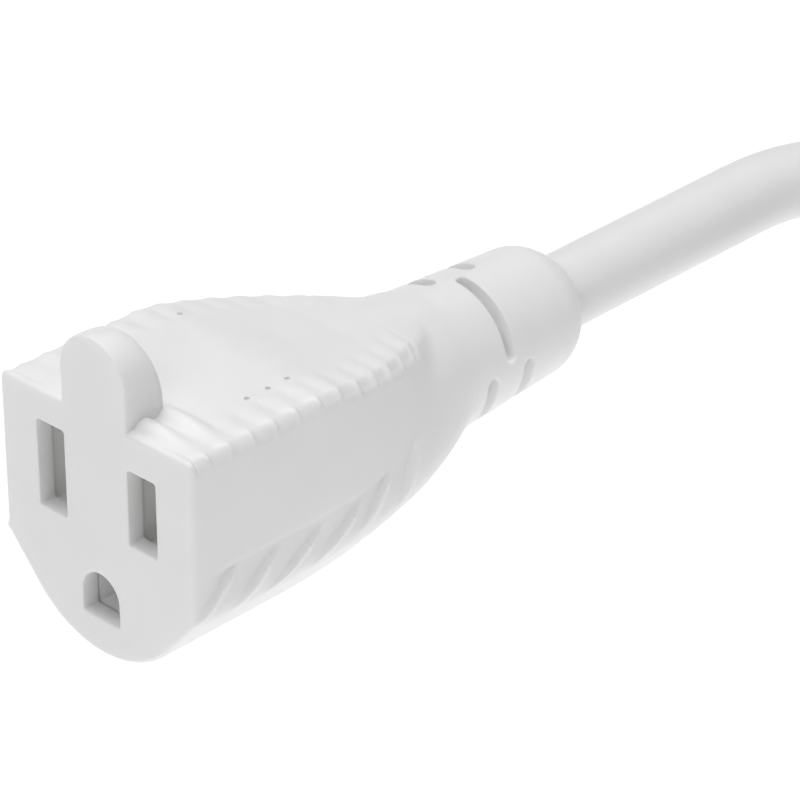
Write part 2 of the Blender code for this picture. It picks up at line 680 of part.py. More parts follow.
def cord_tube(name, points):
    """A round cord along a route, as a curve with a bevel and closed ends."""
    line = smooth_route(points, TUBE_STEP)
    curve = bpy.data.curves.new(name, 'CURVE')
    curve.dimensions = '3D'
    curve.bevel_depth = CORD_RADIUS * MM
    curve.bevel_resolution = 3
    curve.use_fill_caps = True
    spline = curve.splines.new('POLY')
    spline.points.add(len(line) - 1)
    for point, place in zip(spline.points, line):
        point.co = (*(place * MM), 1.0)
    curve.materials.append(material(CORD_JACKET))
    bpy.context.collection.objects.link(bpy.data.objects.new(name, curve))


def rounded_rectangle(r_low, r_high, z_low, z_high, radius, sides=4):
    """Corners (r, z) of a rectangle with rounded corners, anticlockwise."""
    corners = (
        (r_high - radius, z_high - radius, 0), (r_low + radius, z_high - radius, 90),
        (r_low + radius, z_low + radius, 180), (r_high - radius, z_low + radius, 270),
    )
    outline = []
    for r, z, first in corners:
        for i in range(sides + 1):
            angle = math.radians(first + 90 * i / sides)
            outline.append((r + radius * math.cos(angle), z + radius * math.sin(angle)))
    return outline


def about_coil(profile, angle):
    """Place an (r, z) profile in the upright plane at an angle round the coil's centre."""
    a = math.radians(angle)
    return [
        (COIL_CENTRE_X + r * math.cos(a), COIL_CENTRE_Y + r * math.sin(a), z) for r, z in profile
    ]


def coil_section(grow=0.0):
    """Outline of the bundle of turns, grown by an even margin."""
    height = 2 * CORD_RADIUS * COIL_LAYERS
    return rounded_rectangle(
        COIL_MEAN_RADIUS - COIL_HALF_WIDTH - grow, COIL_OUTSIDE + grow,
        COIL_LIFT - grow, COIL_LIFT + height + grow, CORD_RADIUS - 0.2 + grow,
    )


def cord_coil():
    """The space that the turns fill, as a turned ring."""
    sides = 48
    rings = [about_coil(coil_section(), 360.0 * i / sides) for i in range(sides)]
    closed_loft("cord_coil", rings, None, CORD_JACKET)


def coil_tie():
    """A strap round the bundle of turns."""
    steps = 6
    angles = [TIE_ANGLE - TIE_HALF_SPAN + 2 * TIE_HALF_SPAN * i / steps for i in range(steps + 1)]
    outer = [about_coil(coil_section(GAP + TIE_THICKNESS), a) for a in angles]
    inner = [about_coil(coil_section(GAP), a) for a in reversed(angles)]
    closed_loft("coil_tie", outer + inner, None, TIE_FABRIC)


def plug_inner_route():
    """The end of the tail inside the plug's strain relief, straight along the plug's axis."""
    forward = Vector((-math.sin(PLUG_TURN), -math.cos(PLUG_TURN), 0.0))
    return [tuple(PLUG_ENTRY + forward * s) for s in (0.0, 12.0, CORD_INSIDE)]


def cord():
    cord_tube("cord_lead", LEAD_ROUTE)
    cord_tube("cord_tail", list(TAIL_ROUTE) + plug_inner_route())
    cord_coil()
    coil_tie()


clear_scene()
connector()
plug()
cord()
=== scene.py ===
"""A grounded extension cord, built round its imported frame.

The connector and the plug are the same soft vinyl moulding. The shell of each is a surface worked out in
millimetres in the moulding's own frame: x across the blades, y from the mating face towards the cord, z up
from the blades' middle line.
"""

import json
import logging
import math
from dataclasses import dataclass, field
from enum import Enum
from typing import Iterable, Sequence

import bmesh
import bpy
import numpy as np
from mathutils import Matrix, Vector

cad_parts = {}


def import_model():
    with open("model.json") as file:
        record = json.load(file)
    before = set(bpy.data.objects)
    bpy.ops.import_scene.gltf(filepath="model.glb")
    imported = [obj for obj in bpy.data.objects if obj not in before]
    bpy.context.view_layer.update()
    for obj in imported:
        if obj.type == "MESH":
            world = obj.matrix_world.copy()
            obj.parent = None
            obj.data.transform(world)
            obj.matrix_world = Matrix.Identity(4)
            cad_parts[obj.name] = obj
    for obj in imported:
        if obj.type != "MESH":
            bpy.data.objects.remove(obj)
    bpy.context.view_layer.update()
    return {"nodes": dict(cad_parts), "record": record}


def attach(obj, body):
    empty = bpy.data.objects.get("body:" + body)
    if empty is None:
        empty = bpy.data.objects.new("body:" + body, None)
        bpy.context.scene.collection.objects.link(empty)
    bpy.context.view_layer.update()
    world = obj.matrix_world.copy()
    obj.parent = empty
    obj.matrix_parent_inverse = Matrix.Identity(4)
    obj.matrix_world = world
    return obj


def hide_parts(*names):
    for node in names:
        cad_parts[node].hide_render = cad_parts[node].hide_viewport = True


LOG = logging.getLogger("extension_cord")
MM = 0.001
SHARP_EDGE = math.radians(32.0)
BLADE_X = 6.35
GROUND_Z = -11.89
Point = tuple[float, float, float]
Circle = tuple[float, float, float]
Colour = tuple[float, float, float]


class Slot(Enum):
    """The record's material slots."""

    VINYL = "white_vinyl"
    JACKET = "cord_jacket"
    INSERT = "insert_plastic"
    BRASS = "brass"
    NICKEL = "nickel_plate"
    COPPER = "copper"
    BLACK_WIRE = "black_insulation"
    WHITE_WIRE = "white_insulation"
    GREEN_WIRE = "green_insulation"
    STRAP = "tie_fabric"


class Cut(Enum):
    """How one solid is combined with another."""

    ADD = "UNION"
    REMOVE = "DIFFERENCE"


# ------------------------------------------------------------------------------------------------
# Shapes
# ------------------------------------------------------------------------------------------------
def eased(low: float, high: float, value: np.ndarray) -> np.ndarray:
    """Smooth step: 0 below low, 1 above high, and 3t² - 2t³ between them.

    Args:
        low: Where the step starts.
        high: Where the step ends.
        value: The values to step.

    Returns:
        An array of the same shape as value, from 0 to 1.
    """
    share = np.clip((value - low) / (high - low), 0.0, 1.0)
    return share * share * (3.0 - 2.0 * share)


def half_wave(share: np.ndarray) -> np.ndarray:
    """Half a cosine wave from 0 to 1."""
    return 0.5 - 0.5 * np.cos(math.pi * share)


def rounded_edge(radius: float, steps: int) -> list[tuple[float, float]]:
    """Depth and shrink of each row of a quarter-round edge, from its front back."""
    angles = np.radians(np.linspace(90.0, 0.0, steps))
    return [(radius * (1.0 - math.sin(a)), radius * (1.0 - math.cos(a))) for a in angles]


def rectangle(x: float, half: float, tall: float, corner: float) -> list[Circle]:
    """The corner circles of an upright rectangle round (x, 0), from its half width and half height."""
    sides = [(a, b) for a in (-1.0, 1.0) for b in (-1.0, 1.0)]
    return [(x + a * (half - corner), b * (tall - corner), corner) for a, b in sides]


def tight_band(circles: Sequence[Circle], columns: int, turn_share: float = 0.25) -> np.ndarray:
    """The outline of a band pulled tight round circles.

    Formula: in direction n the band touches the circle with the largest centre · n + radius, at
    centre + radius n. The outline is then sampled evenly in a mix of its arc length and of the angle it
    turns through, so that small corners still get enough points.

    Args:
        circles: (x, z, radius) of each circle.
        columns: How many points the outline gets.
        turn_share: The share of the points that follows the turning rather than the length.

    Returns:
        An array (columns, 2) of x and z, anticlockwise from the lowest point.
    """
    data = np.array(circles)
    turn = np.linspace(0.0, 1.0, 1441)
    angle = 2.0 * math.pi * turn - math.pi / 2.0
    direction = np.stack([np.cos(angle), np.sin(angle)], axis=1)
    reach = direction @ data[:, :2].T + data[:, 2]
    touched = reach.argmax(axis=1)
    edge = data[touched, :2] + data[touched, 2:3] * direction
    step = np.linalg.norm(np.diff(edge, axis=0), axis=1)
    length = np.concatenate([[0.0], np.cumsum(step)])
    mixed = (1.0 - turn_share) * length / length[-1] + turn_share * turn
    at = np.arange(columns) / columns
    return np.stack([np.interp(at, mixed, edge[:, 0]), np.interp(at, mixed, edge[:, 1])], axis=1)


def lifted(outline: np.ndarray, y: float) -> np.ndarray:
    """A flat outline (n, 2) of x and z as points (n, 3) at a distance y along the moulding."""
    return np.stack([outline[:, 0], np.full(len(outline), y), outline[:, 1]], axis=1)


def ring_faces(rows: int, columns: int) -> list[list[int]]:
    """The faces of a grid of points whose rows close on themselves.

    Args:
        rows: Number of rows of points.
        columns: Number of points in a row.

    Returns:
        The four point numbers of each face.
    """
    row, column = np.meshgrid(np.arange(rows - 1), np.arange(columns), indexing="ij")
    following = (column + 1) % columns
    corners = (row * columns + column, row * columns + following)
    corners += ((row + 1) * columns + following, (row + 1) * columns + column)
    return np.stack(corners, axis=-1).reshape(-1, 4).tolist()


def tube_faces(rows: int, columns: int) -> list[list[int]]:
    """The faces of a tube of rings with a cap on each end."""
    faces = ring_faces(rows, columns)
    faces.append(list(range(columns)))
    faces.append([(rows - 1) * columns + c for c in reversed(range(columns))])
    return faces


def finish_normals(target: bpy.types.Mesh) -> None:
    """Turn all faces of a closed mesh outwards, once its doubles are merged."""
    work = bmesh.new()
    work.from_mesh(target)
    bmesh.ops.remove_doubles(work, verts=work.verts, dist=1e-8)
    bmesh.ops.recalc_face_normals(work, faces=work.faces)
    work.to_mesh(target)
    work.free()


def new_piece(name: str, points: np.ndarray, faces: Iterable[Sequence[int]]) -> bpy.types.Object:
    """An object at the origin whose mesh has these points, in metres, and faces.

    Args:
        name: The object's name.
        points: An array (n, 3).
        faces: Point numbers of each face.

    Returns:
        The object, linked to the scene.
    """
    mesh = bpy.data.meshes.new(name)
    mesh.from_pydata(points.reshape(-1, 3), [], faces)
    finish_normals(mesh)
    made = bpy.data.objects.new(name, mesh)
    bpy.context.scene.collection.objects.link(made)
    return made


@dataclass(frozen=True)
class Seat:
    """Where a moulding's own frame lies in the row's frame."""

    origin: np.ndarray
    across: np.ndarray
    along: np.ndarray
    up: np.ndarray

    @staticmethod
    def from_mount(mount: dict, up: Point, front: float) -> "Seat":
        """The frame of a moulding whose mating face is at a mount.

        Args:
            mount: The record's mount on the mating face.
            up: The direction of the moulding's z.
            front: Where the mating face is along the moulding's y, in millimetres.

        Returns:
            The frame.
        """
        along = -np.array(mount["axis"])
        along /= np.linalg.norm(along)
        origin = np.array(mount["pos_m"]) - along * front * MM
        return Seat(origin, np.cross(along, up), along, np.array(up))

    def place(self, points: np.ndarray) -> np.ndarray:
        """Local points in millimetres as row points in metres."""
        axes = np.stack([self.across, self.along, self.up])
        return self.origin + (points.reshape(-1, 3) * MM) @ axes


def loft(name: str, rings: np.ndarray, seat: Seat) -> bpy.types.Object:
    """A closed solid through rings of points, with both ends capped.

    Args:
        name: The object's name.
        rings: An array (rows, columns, 3) in the moulding's own millimetres.
        seat: The moulding's frame.

    Returns:
        The solid.
    """
    return new_piece(name, seat.place(rings), tube_faces(*rings.shape[:2]))


def combine(body: bpy.types.Object, tool: bpy.types.Object, how: Cut) -> None:
    """Add a solid to another, or remove it from it, and delete the tool.

    Args:
        body: The solid that is changed.
        tool: The solid that changes it.
        how: Whether it is added or removed.
    """
    step = body.modifiers.new("combine", "BOOLEAN")
    step.object = tool
    step.operation = how.value
    before = len(body.data.polygons)
    for solver in ("MANIFOLD", "EXACT"):
        step.solver = solver
        depsgraph = bpy.context.evaluated_depsgraph_get()
        mesh = bpy.data.meshes.new_from_object(body.evaluated_get(depsgraph))
        if len(mesh.polygons) >= before // 4:
            break
    LOG.info("%s %s: %d -> %d faces", how.name, tool.name, before, len(mesh.polygons))
    body.modifiers.clear()
    old, body.data = body.data, mesh
    bpy.data.meshes.remove(old)
    bpy.data.objects.remove(tool, do_unlink=True)


def smooth(mesh: bpy.types.Mesh) -> None:
    """Smooth shading with the sharp edges kept."""
    mesh.polygons.foreach_set("use_smooth", np.ones(len(mesh.polygons), bool))
    mesh.set_sharp_from_angle(angle=SHARP_EDGE)


def shade(piece: bpy.types.Object) -> None:
    """Smooth shading with sharp edges kept, weighted so that flat faces stay flat."""
    smooth(piece.data)
    weighted = piece.modifiers.new("flat faces", "WEIGHTED_NORMAL")
    weighted.keep_sharp = True
    weighted.weight = 100


def corner_points(mesh: bpy.types.Mesh) -> np.ndarray:
    """The point number at each corner of a mesh's faces."""
    corner = np.empty(len(mesh.loops), np.int32)
    mesh.loops.foreach_get("vertex_index", corner)
    return corner


def lay_map(mesh: bpy.types.Mesh, name: str, u: np.ndarray, v: np.ndarray) -> None:
    """Give a mesh a UV map with these places at its corners."""
    layer = mesh.uv_layers.new(name=name)
    layer.data.foreach_set("uv", np.stack([u, v], axis=1).ravel())


def carry(piece: bpy.types.Object, finish: bpy.types.Material, slot: Slot, *nodes: str) -> None:
    """Give a finished piece its finish and its body, and hide the CAD nodes that it stands for.

    Args:
        piece: The piece.
        finish: Its material.
        slot: The record's slot for that finish; not used.
        nodes: The CAD nodes that the piece replaces.
    """
    piece.data.materials.clear()
    piece.data.materials.append(finish)
    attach(piece, "root")
    if nodes:
        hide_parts(*nodes)
    LOG.info("%s: %d faces", piece.name, len(piece.data.polygons))


# ------------------------------------------------------------------------------------------------
# Finishes
# ------------------------------------------------------------------------------------------------
# A noise pattern stays mostly between these two values, so colours and gloss are spread between them.
PALE = 0.3
DEEP = 0.7


@dataclass
class Board:
    """A material and the nodes on it."""

    name: str
    material: bpy.types.Material = field(init=False)
    shader: bpy.types.Node = field(init=False)

    def __post_init__(self) -> None:
        """Start with a shader and its output."""
        self.material = bpy.data.materials.new(self.name)
        self.material.use_nodes = True
        self.tree.nodes.clear()
        self.shader = self.add("ShaderNodeBsdfPrincipled")
        output = self.add("ShaderNodeOutputMaterial")
        self.join(self.shader, "BSDF", output, "Surface")

    @property
    def tree(self) -> bpy.types.NodeTree:
        """The material's node tree."""
        return self.material.node_tree

    def add(self, kind: str, **sockets: object) -> bpy.types.Node:
        """A new node with its sockets set by name.

        Args:
            kind: The node's type.
            sockets: Values for its inputs, named in lower case with underscores.

        Returns:
            The node.
        """
        node = self.tree.nodes.new(kind)
        for name, value in sockets.items():
            self.put(node, name, value)
        return node

    def put(self, node: bpy.types.Node, name: str, value: object) -> None:
        """Set the input of a node that has that name, in lower case with underscores."""
        found = [s for s in node.inputs if s.name.lower().replace(" ", "_") == name and s.enabled]
        found[0].default_value = value

    def join(self, start: bpy.types.Node, out: str, end: bpy.types.Node, into: str) -> None:
        """Link one node's output to another's input."""
        self.tree.links.new(start.outputs[out], end.inputs[into])

    def noise(self, scale: float, detail: float, roughness: float = 0.5) -> bpy.types.Node:
        """A noise pattern on Object coordinates.

        Args:
            scale: How many cells there are to a metre.
            detail: How many octaves it has.
            roughness: How strong the finer octaves are.

        Returns:
            The noise node.
        """
        place = self.add("ShaderNodeTexCoord")
        made = self.add("ShaderNodeTexNoise", scale=scale, detail=detail, roughness=roughness)
        self.join(place, "Object", made, "Vector")
        return made

    def lines(self, stretch: Point, roughness: float, coords: str) -> bpy.types.Node:
        """A noise pattern drawn out into lines.

        Args:
            stretch: How many cells there are to a unit along each axis.
            roughness: How strong the finer octave is.
            coords: The output of Texture Coordinate that it reads.

        Returns:
            The noise node.
        """
        place = self.add("ShaderNodeTexCoord")
        mapping = self.add("ShaderNodeMapping", scale=stretch)
        self.join(place, coords, mapping, "Vector")
        made = self.add("ShaderNodeTexNoise", scale=1.0, detail=2.0, roughness=roughness)
        self.join(mapping, "Vector", made, "Vector")
        return made

    def gloss(self, source: bpy.types.Node, low: float, high: float) -> None:
        """Spread the shader's roughness between two values by a pattern.

        Args:
            source: The pattern.
            low: The roughness where the pattern is low.
            high: The roughness where the pattern is high.
        """
        spread = self.add("ShaderNodeMapRange", from_min=PALE, from_max=DEEP, to_min=low, to_max=high)
        self.join(source, "Fac", spread, "Value")
        self.join(spread, "Result", self.shader, "Roughness")

    def tint(self, source: bpy.types.Node, dark: Colour, light: Colour) -> None:
        """Colour the shader between two colours by a pattern.

        Args:
            source: The pattern.
            dark: The colour where the pattern is low.
            light: The colour where the pattern is high.
        """
        ramp = self.add("ShaderNodeValToRGB")
        for stop, place, colour in zip(ramp.color_ramp.elements, (PALE, DEEP), (dark, light)):
            stop.position = place
            stop.color = (*colour, 1.0)
        self.join(source, "Fac", ramp, "Fac")
        self.join(ramp, "Color", self.shader, "Base Color")

    def relief(self, source: bpy.types.Node, height: float, strength: float) -> None:
        """A bump on the shader from a pattern, over any bump that it has already.

        Args:
            source: The pattern.
            height: The bump's height in metres.
            strength: How much of it shows.
        """
        bump = self.add("ShaderNodeBump", strength=strength, distance=height)
        self.join(source, "Fac", bump, "Height")
        below = self.shader.inputs["Normal"].links
        if below:
            self.tree.links.new(below[0].from_socket, bump.inputs["Normal"])
        self.join(bump, "Normal", self.shader, "Normal")

    def soften(self, milkiness: float, depth: float) -> None:
        """Let light into the shader as into soft plastic: how much of it, and how deep in metres."""
        self.put(self.shader, "ior", 1.5)
        self.put(self.shader, "subsurface_weight", milkiness)
        self.put(self.shader, "subsurface_radius", (1.0, 1.0, 1.0))
        self.put(self.shader, "subsurface_scale", depth)


@dataclass(frozen=True)
class Vinyl:
    """Soft moulded vinyl: a fine mould grain, slow unevenness of tone and gloss, a little light inside."""

    name: str
    dark: Colour
    light: Colour
    gloss_low: float = 0.40
    gloss_high: float = 0.52
    grain: float = 2600.0
    grain_depth: float = 0.00002
    milkiness: float = 0.4
    depth_of_light: float = 0.0014

    def make(self) -> bpy.types.Material:
        """Build the material."""
        board = Board(self.name)
        board.tint(board.noise(90.0, 4.0), self.dark, self.light)
        board.gloss(board.noise(420.0, 3.0), self.gloss_low, self.gloss_high)
        board.relief(board.noise(self.grain, 3.0, 0.6), self.grain_depth, 0.35)
        board.relief(board.noise(230.0, 2.0), 0.00006, 0.25)
        board.soften(self.milkiness, self.depth_of_light)
        return board.material


@dataclass(frozen=True)
class Jacket:
    """Extruded cord jacket: fine lines along it from the die, slow changes of tone, a satin gloss."""

    name: str
    dark: Colour
    light: Colour
    lines: float = 46.0
    smears: float = 260.0
    milkiness: float = 0.3
    depth_of_light: float = 0.0014

    def make(self) -> bpy.types.Material:
        """Build the material on the cord's own UV map, whose u runs round and whose v runs along it."""
        board = Board(self.name)
        board.relief(board.lines((self.lines, 3.0, 1.0), 0.5, "UV"), 0.00003, 0.3)
        board.relief(board.noise(1700.0, 3.0), 0.00002, 0.3)
        board.tint(board.noise(70.0, 3.0), self.dark, self.light)
        board.gloss(board.noise(self.smears, 2.0), 0.38, 0.5)
        board.soften(self.milkiness, self.depth_of_light)
        return board.material


@dataclass(frozen=True)
class Metal:
    """Stamped or drawn metal: fine rolling lines, slight stains and fingerprints in the gloss."""

    name: str
    dark: Colour
    light: Colour
    gloss_low: float = 0.18
    gloss_high: float = 0.34

    def make(self) -> bpy.types.Material:
        """Build the material."""
        board = Board(self.name)
        board.relief(board.lines((5200.0, 240.0, 2600.0), 0.6, "Object"), 0.00001, 0.35)
        stains = board.noise(320.0, 4.0)
        board.tint(stains, self.dark, self.light)
        board.gloss(stains, self.gloss_high, self.gloss_low)
        board.put(board.shader, "metallic", 1.0)
        return board.material


@dataclass(frozen=True)
class Strapping:
    """Hook-and-loop strapping: a weave across the strap under a short fuzz."""

    name: str
    dark: Colour
    light: Colour
    threads: float = 900.0

    def make(self) -> bpy.types.Material:
        """Build the material on the strap's own UV map, in metres along and across it."""
        board = Board(self.name)
        place = board.add("ShaderNodeTexCoord")
        weave = board.add("ShaderNodeTexWave", scale=self.threads, distortion=1.5, detail=2.0)
        board.put(weave, "detail_scale", 2.0)
        weave.bands_direction = "DIAGONAL"
        board.join(place, "UV", weave, "Vector")
        board.relief(weave, 0.0002, 0.5)
        fuzz = board.noise(5200.0, 4.0, 0.7)
        board.relief(fuzz, 0.0003, 0.7)
        board.tint(fuzz, self.dark, self.light)
        board.gloss(fuzz, 0.85, 0.98)
        board.put(board.shader, "sheen_weight", 0.4)
        return board.material


@dataclass(frozen=True)
class Paper:
    """A pale floor that is mostly lit from within, so that it throws little shade."""

    name: str = "pale_floor"
    tone: float = 0.22
    glow: float = 0.88

    def make(self) -> bpy.types.Material:
        """Build the material."""
        board = Board(self.name)
        board.tint(board.noise(3.0, 2.0), (self.tone * 0.99,) * 3, (self.tone,) * 3)
        board.put(board.shader, "roughness", 0.9)
        board.put(board.shader, "emission_color", (1.0, 1.0, 1.0, 1.0))
        board.put(board.shader, "emission_strength", self.glow)
        return board.material


FINISHES: dict[Slot, Vinyl | Jacket | Metal | Strapping] = {
    Slot.VINYL: Vinyl("white_moulded_vinyl", (0.865, 0.865, 0.863), (0.89, 0.89, 0.888)),
    Slot.JACKET: Jacket("white_cord_jacket", (0.83, 0.83, 0.828), (0.86, 0.86, 0.858)),
    Slot.INSERT: Vinyl("pale_insert_plastic", (0.94, 0.94, 0.935), (0.96, 0.96, 0.955), 0.42, 0.55, 2000.0),
    Slot.BRASS: Metal("tinned_contact_brass", (0.66, 0.64, 0.59), (0.78, 0.77, 0.74)),
    Slot.NICKEL: Metal("bright_nickel_plate", (0.62, 0.60, 0.57), (0.76, 0.75, 0.73), 0.14, 0.30),
    Slot.COPPER: Metal("bare_copper_strand", (0.62, 0.28, 0.16), (0.78, 0.40, 0.25)),
    Slot.BLACK_WIRE: Vinyl("black_wire_vinyl", (0.018, 0.018, 0.018), (0.03, 0.03, 0.03), milkiness=0.0),
    Slot.WHITE_WIRE: Vinyl("white_wire_vinyl", (0.68, 0.68, 0.66), (0.75, 0.75, 0.73)),
    Slot.GREEN_WIRE: Vinyl("green_wire_vinyl", (0.015, 0.22, 0.05), (0.03, 0.30, 0.08)),
    Slot.STRAP: Strapping("black_hook_and_loop", (0.012, 0.012, 0.012), (0.05, 0.05, 0.05)),
}


# ------------------------------------------------------------------------------------------------
# Camera, light and floor
# ------------------------------------------------------------------------------------------------
@dataclass
class Studio:
    """The camera, the soft light and the pale floor."""

    azimuth: float = 43.884
    elevation: float = 29.602
    distance: float = 0.387
    lens: float = 183.05
    aim: Point = (0.01786, -0.008843, 0.025986)
    sky: float = 0.10
    floor_half: float = 3.0
    lamps: tuple[tuple[str, Point, float, float], ...] = (
        ("overhead", (-0.25, 0.05, 1.6), 1.4, 23.5),
        ("front_fill", (0.64, -1.24, 0.98), 1.0, 5.2),
        ("far_fill", (1.1, 1.1, 0.8), 1.0, 2.0),
    )

    def build(self) -> None:
        """Make everything that isn't the object."""
        self.camera()
        self.world()
        for name, place, size, power in self.lamps:
            self.lamp(name, place, size, power)
        self.floor()
        bpy.context.scene.view_settings.view_transform = "Standard"

    def camera(self) -> None:
        """A long lens that looks at the aim from the azimuth and elevation."""
        azimuth, elevation = math.radians(self.azimuth), math.radians(self.elevation)
        level = math.cos(elevation)
        back = Vector((level * math.sin(azimuth), -level * math.cos(azimuth), math.sin(elevation)))
        data = bpy.data.cameras.new("camera")
        data.lens = self.lens
        data.sensor_width = 36.0
        data.clip_start = 0.01
        camera = bpy.data.objects.new("camera", data)
        camera.location = Vector(self.aim) + back * self.distance
        camera.rotation_euler = back.to_track_quat("Z", "Y").to_euler()
        bpy.context.scene.collection.objects.link(camera)
        bpy.context.scene.camera = camera

    def world(self) -> None:
        """An even white sky."""
        world = bpy.data.worlds.new("even_sky")
        world.use_nodes = True
        background = world.node_tree.nodes["Background"]
        background.inputs["Color"].default_value = (1.0, 1.0, 1.0, 1.0)
        background.inputs["Strength"].default_value = self.sky
        bpy.context.scene.world = world

    def lamp(self, name: str, place: Point, size: float, power: float) -> None:
        """A square soft light that looks at the object.

        Args:
            name: The light's name.
            place: Where it stands, in metres.
            size: The length of its side.
            power: Its power in watts.
        """
        data = bpy.data.lights.new(name, "AREA")
        data.size = size
        data.energy = power
        light = bpy.data.objects.new(name, data)
        light.location = place
        light.rotation_euler = Vector(place).to_track_quat("Z", "Y").to_euler()
        bpy.context.scene.collection.objects.link(light)

    def floor(self) -> None:
        """A wide flat sheet under the object."""
        half = self.floor_half
        corners = [(-half, -half), (half, -half), (half, half), (-half, half)]
        points = np.array([(x, y, 0.0) for x, y in corners])
        sheet = new_piece("floor", points, [(0, 1, 2, 3)])
        sheet.data.materials.append(Paper().make())


# ------------------------------------------------------------------------------------------------
# Cord
# ------------------------------------------------------------------------------------------------
@dataclass
class FreeCord:
    """The cord from the connector to the plug, in millimetres: a straight lead, a round coil, a short tail.

    Each turn of the coil has a place, in the order of winding: its column (1 outside, -1 inside) and its
    layer.
    """

    radius: float = 4.2
    lead_start: float = 8.0
    lead_height: float = 14.5
    lead_bend: float = 64.5
    lead_step: float = 4.0
    tail: tuple[Point, ...] = (
        (102.1, 99.6, 13.5),
        (101.2, 90.4, 13.2),
        (99.9, 81.3, 12.8),
        (98.6, 72.9, 12.4),
        (97.9, 68.2, 12.2),
    )
    plug_depth: float = 24.0
    exit: Point = (0.0, 0.032, 0.0145)
    centre: tuple[float, float] = (51.2, 109.0)
    mean_radius: float = 47.0
    floor_height: float = 4.2
    strap_lift: float = 1.35
    strap_angle: float = 45.0
    turns: float = 5.5
    places: tuple[tuple[float, float], ...] = ((1, 0), (-1, 0), (-1, 1), (-1, 2), (1, 2), (1, 1))
    move_middles: tuple[float, ...] = (293.0, 266.0, 266.0, 239.0, 212.0)
    move_length: float = 90.0
    hump: float = 3.8
    hump_angle: float = 338.0
    hump_reach: float = 48.0
    samples_per_turn: int = 72
    sides: int = 28
    map_length: float = 60.0

    def lead(self) -> np.ndarray:
        """The centreline from inside the connector to the coil.

        Formula: level and straight out of the strain relief, then down to the floor along half a cosine.

        Returns:
            An array (n, 3) in millimetres.
        """
        y = np.arange(self.lead_start, self.centre[1] - 1.0, self.lead_step)
        share = np.clip((y - self.lead_bend) / (self.centre[1] - self.lead_bend), 0.0, 1.0)
        fall = self.lead_height - self.floor_height - self.lift(180.0)
        z = self.lead_height - fall * half_wave(share)
        return np.stack([np.zeros_like(y), y, z], axis=1)

    def lift(self, angle: float | np.ndarray) -> float | np.ndarray:
        """How far the strap under one side lifts the coil off the floor, at an angle in degrees."""
        return self.strap_lift * (0.5 + 0.5 * np.cos(np.radians(angle - self.strap_angle)))

    def coil(self) -> np.ndarray:
        """The centreline of the coil.

        Formula: the angle runs clockwise from the side of the connector. The column and layer change from
        each turn's place to the next's along half a cosine wave, each change starting a little before the
        last turn's, so that no turn passes through the one before it. The coil rests on the floor and, on one
        side, on its strap. Outer turns over the lead hump up to let it in under them.

        Returns:
            An array (n, 3) in millimetres.
        """
        travelled = np.arange(0.0, 360.0 * self.turns, 360.0 / self.samples_per_turn)
        places = np.array(self.places, float)
        column = np.full(len(travelled), places[0, 0])
        layer = np.full(len(travelled), places[0, 1])
        for turn, middle in enumerate(self.move_middles):
            start = 360.0 * turn + middle - self.move_length / 2.0
            share = np.clip((travelled - start) / self.move_length, 0.0, 1.0)
            blend = half_wave(share)
            column += blend * (places[turn + 1, 0] - places[turn, 0])
            layer += blend * (places[turn + 1, 1] - places[turn, 1])
        angle = np.radians(180.0 - travelled)
        reach = self.mean_radius + column * self.radius
        from_hump = (travelled - self.hump_angle + 180.0) % 360.0 - 180.0
        near = np.clip(from_hump / self.hump_reach, -1.0, 1.0)
        outer = np.clip(layer, 0.0, 1.0) * np.clip(column, 0.0, 1.0)
        over = outer * self.hump * (0.5 + 0.5 * np.cos(math.pi * near))
        height = self.floor_height + self.lift(180.0 - travelled) + layer * 2.0 * self.radius + over
        x = self.centre[0] + reach * np.cos(angle)
        y = self.centre[1] + reach * np.sin(angle)
        return np.stack([x, y, height], axis=1)

    def centreline(self, plug: Seat, plug_end: float, cord_height: float) -> np.ndarray:
        """The whole route, from inside the connector to inside the plug.

        Args:
            plug: The plug's frame.
            plug_end: How far the plug reaches along its own y, in millimetres.
            cord_height: The cord's height in the plug's frame, in millimetres.

        Returns:
            An array (n, 3) in metres.
        """
        inside = np.linspace(0.0, self.plug_depth, 5)
        ends = np.stack([np.zeros(5), plug_end - inside, np.full(5, cord_height)], axis=1)
        parts = (self.lead() * MM, self.coil() * MM, np.array(self.tail) * MM, plug.place(ends))
        return self.evened(np.concatenate(parts), 0.0022)

    def evened(self, points: np.ndarray, step: float) -> np.ndarray:
        """A smooth line through points, resampled evenly.

        Formula: a Catmull-Rom curve, whose slope at each point is the slope between its two neighbours.

        Args:
            points: An array (n, 3).
            step: The distance between the new points.

        Returns:
            An array (m, 3).
        """
        padded = np.concatenate([[2.0 * points[0] - points[1]], points, [2.0 * points[-1] - points[-2]]])
        a, b, c, d = (padded[i : len(padded) - 3 + i, None] for i in range(4))
        t = np.linspace(0.0, 1.0, 12, endpoint=False)[None, :, None]
        curve = 0.5 * (2.0 * b + (c - a) * t + (2.0 * a - 5.0 * b + 4.0 * c - d) * t**2)
        curve += 0.5 * (3.0 * b - a - 3.0 * c + d) * t**3
        dense = np.concatenate([curve.reshape(-1, 3), points[-1:]])
        along = np.concatenate([[0.0], np.cumsum(np.linalg.norm(np.diff(dense, axis=0), axis=1))])
        at = np.linspace(0.0, along[-1], int(along[-1] / step) + 1)
        return np.stack([np.interp(at, along, dense[:, k]) for k in range(3)], axis=1)

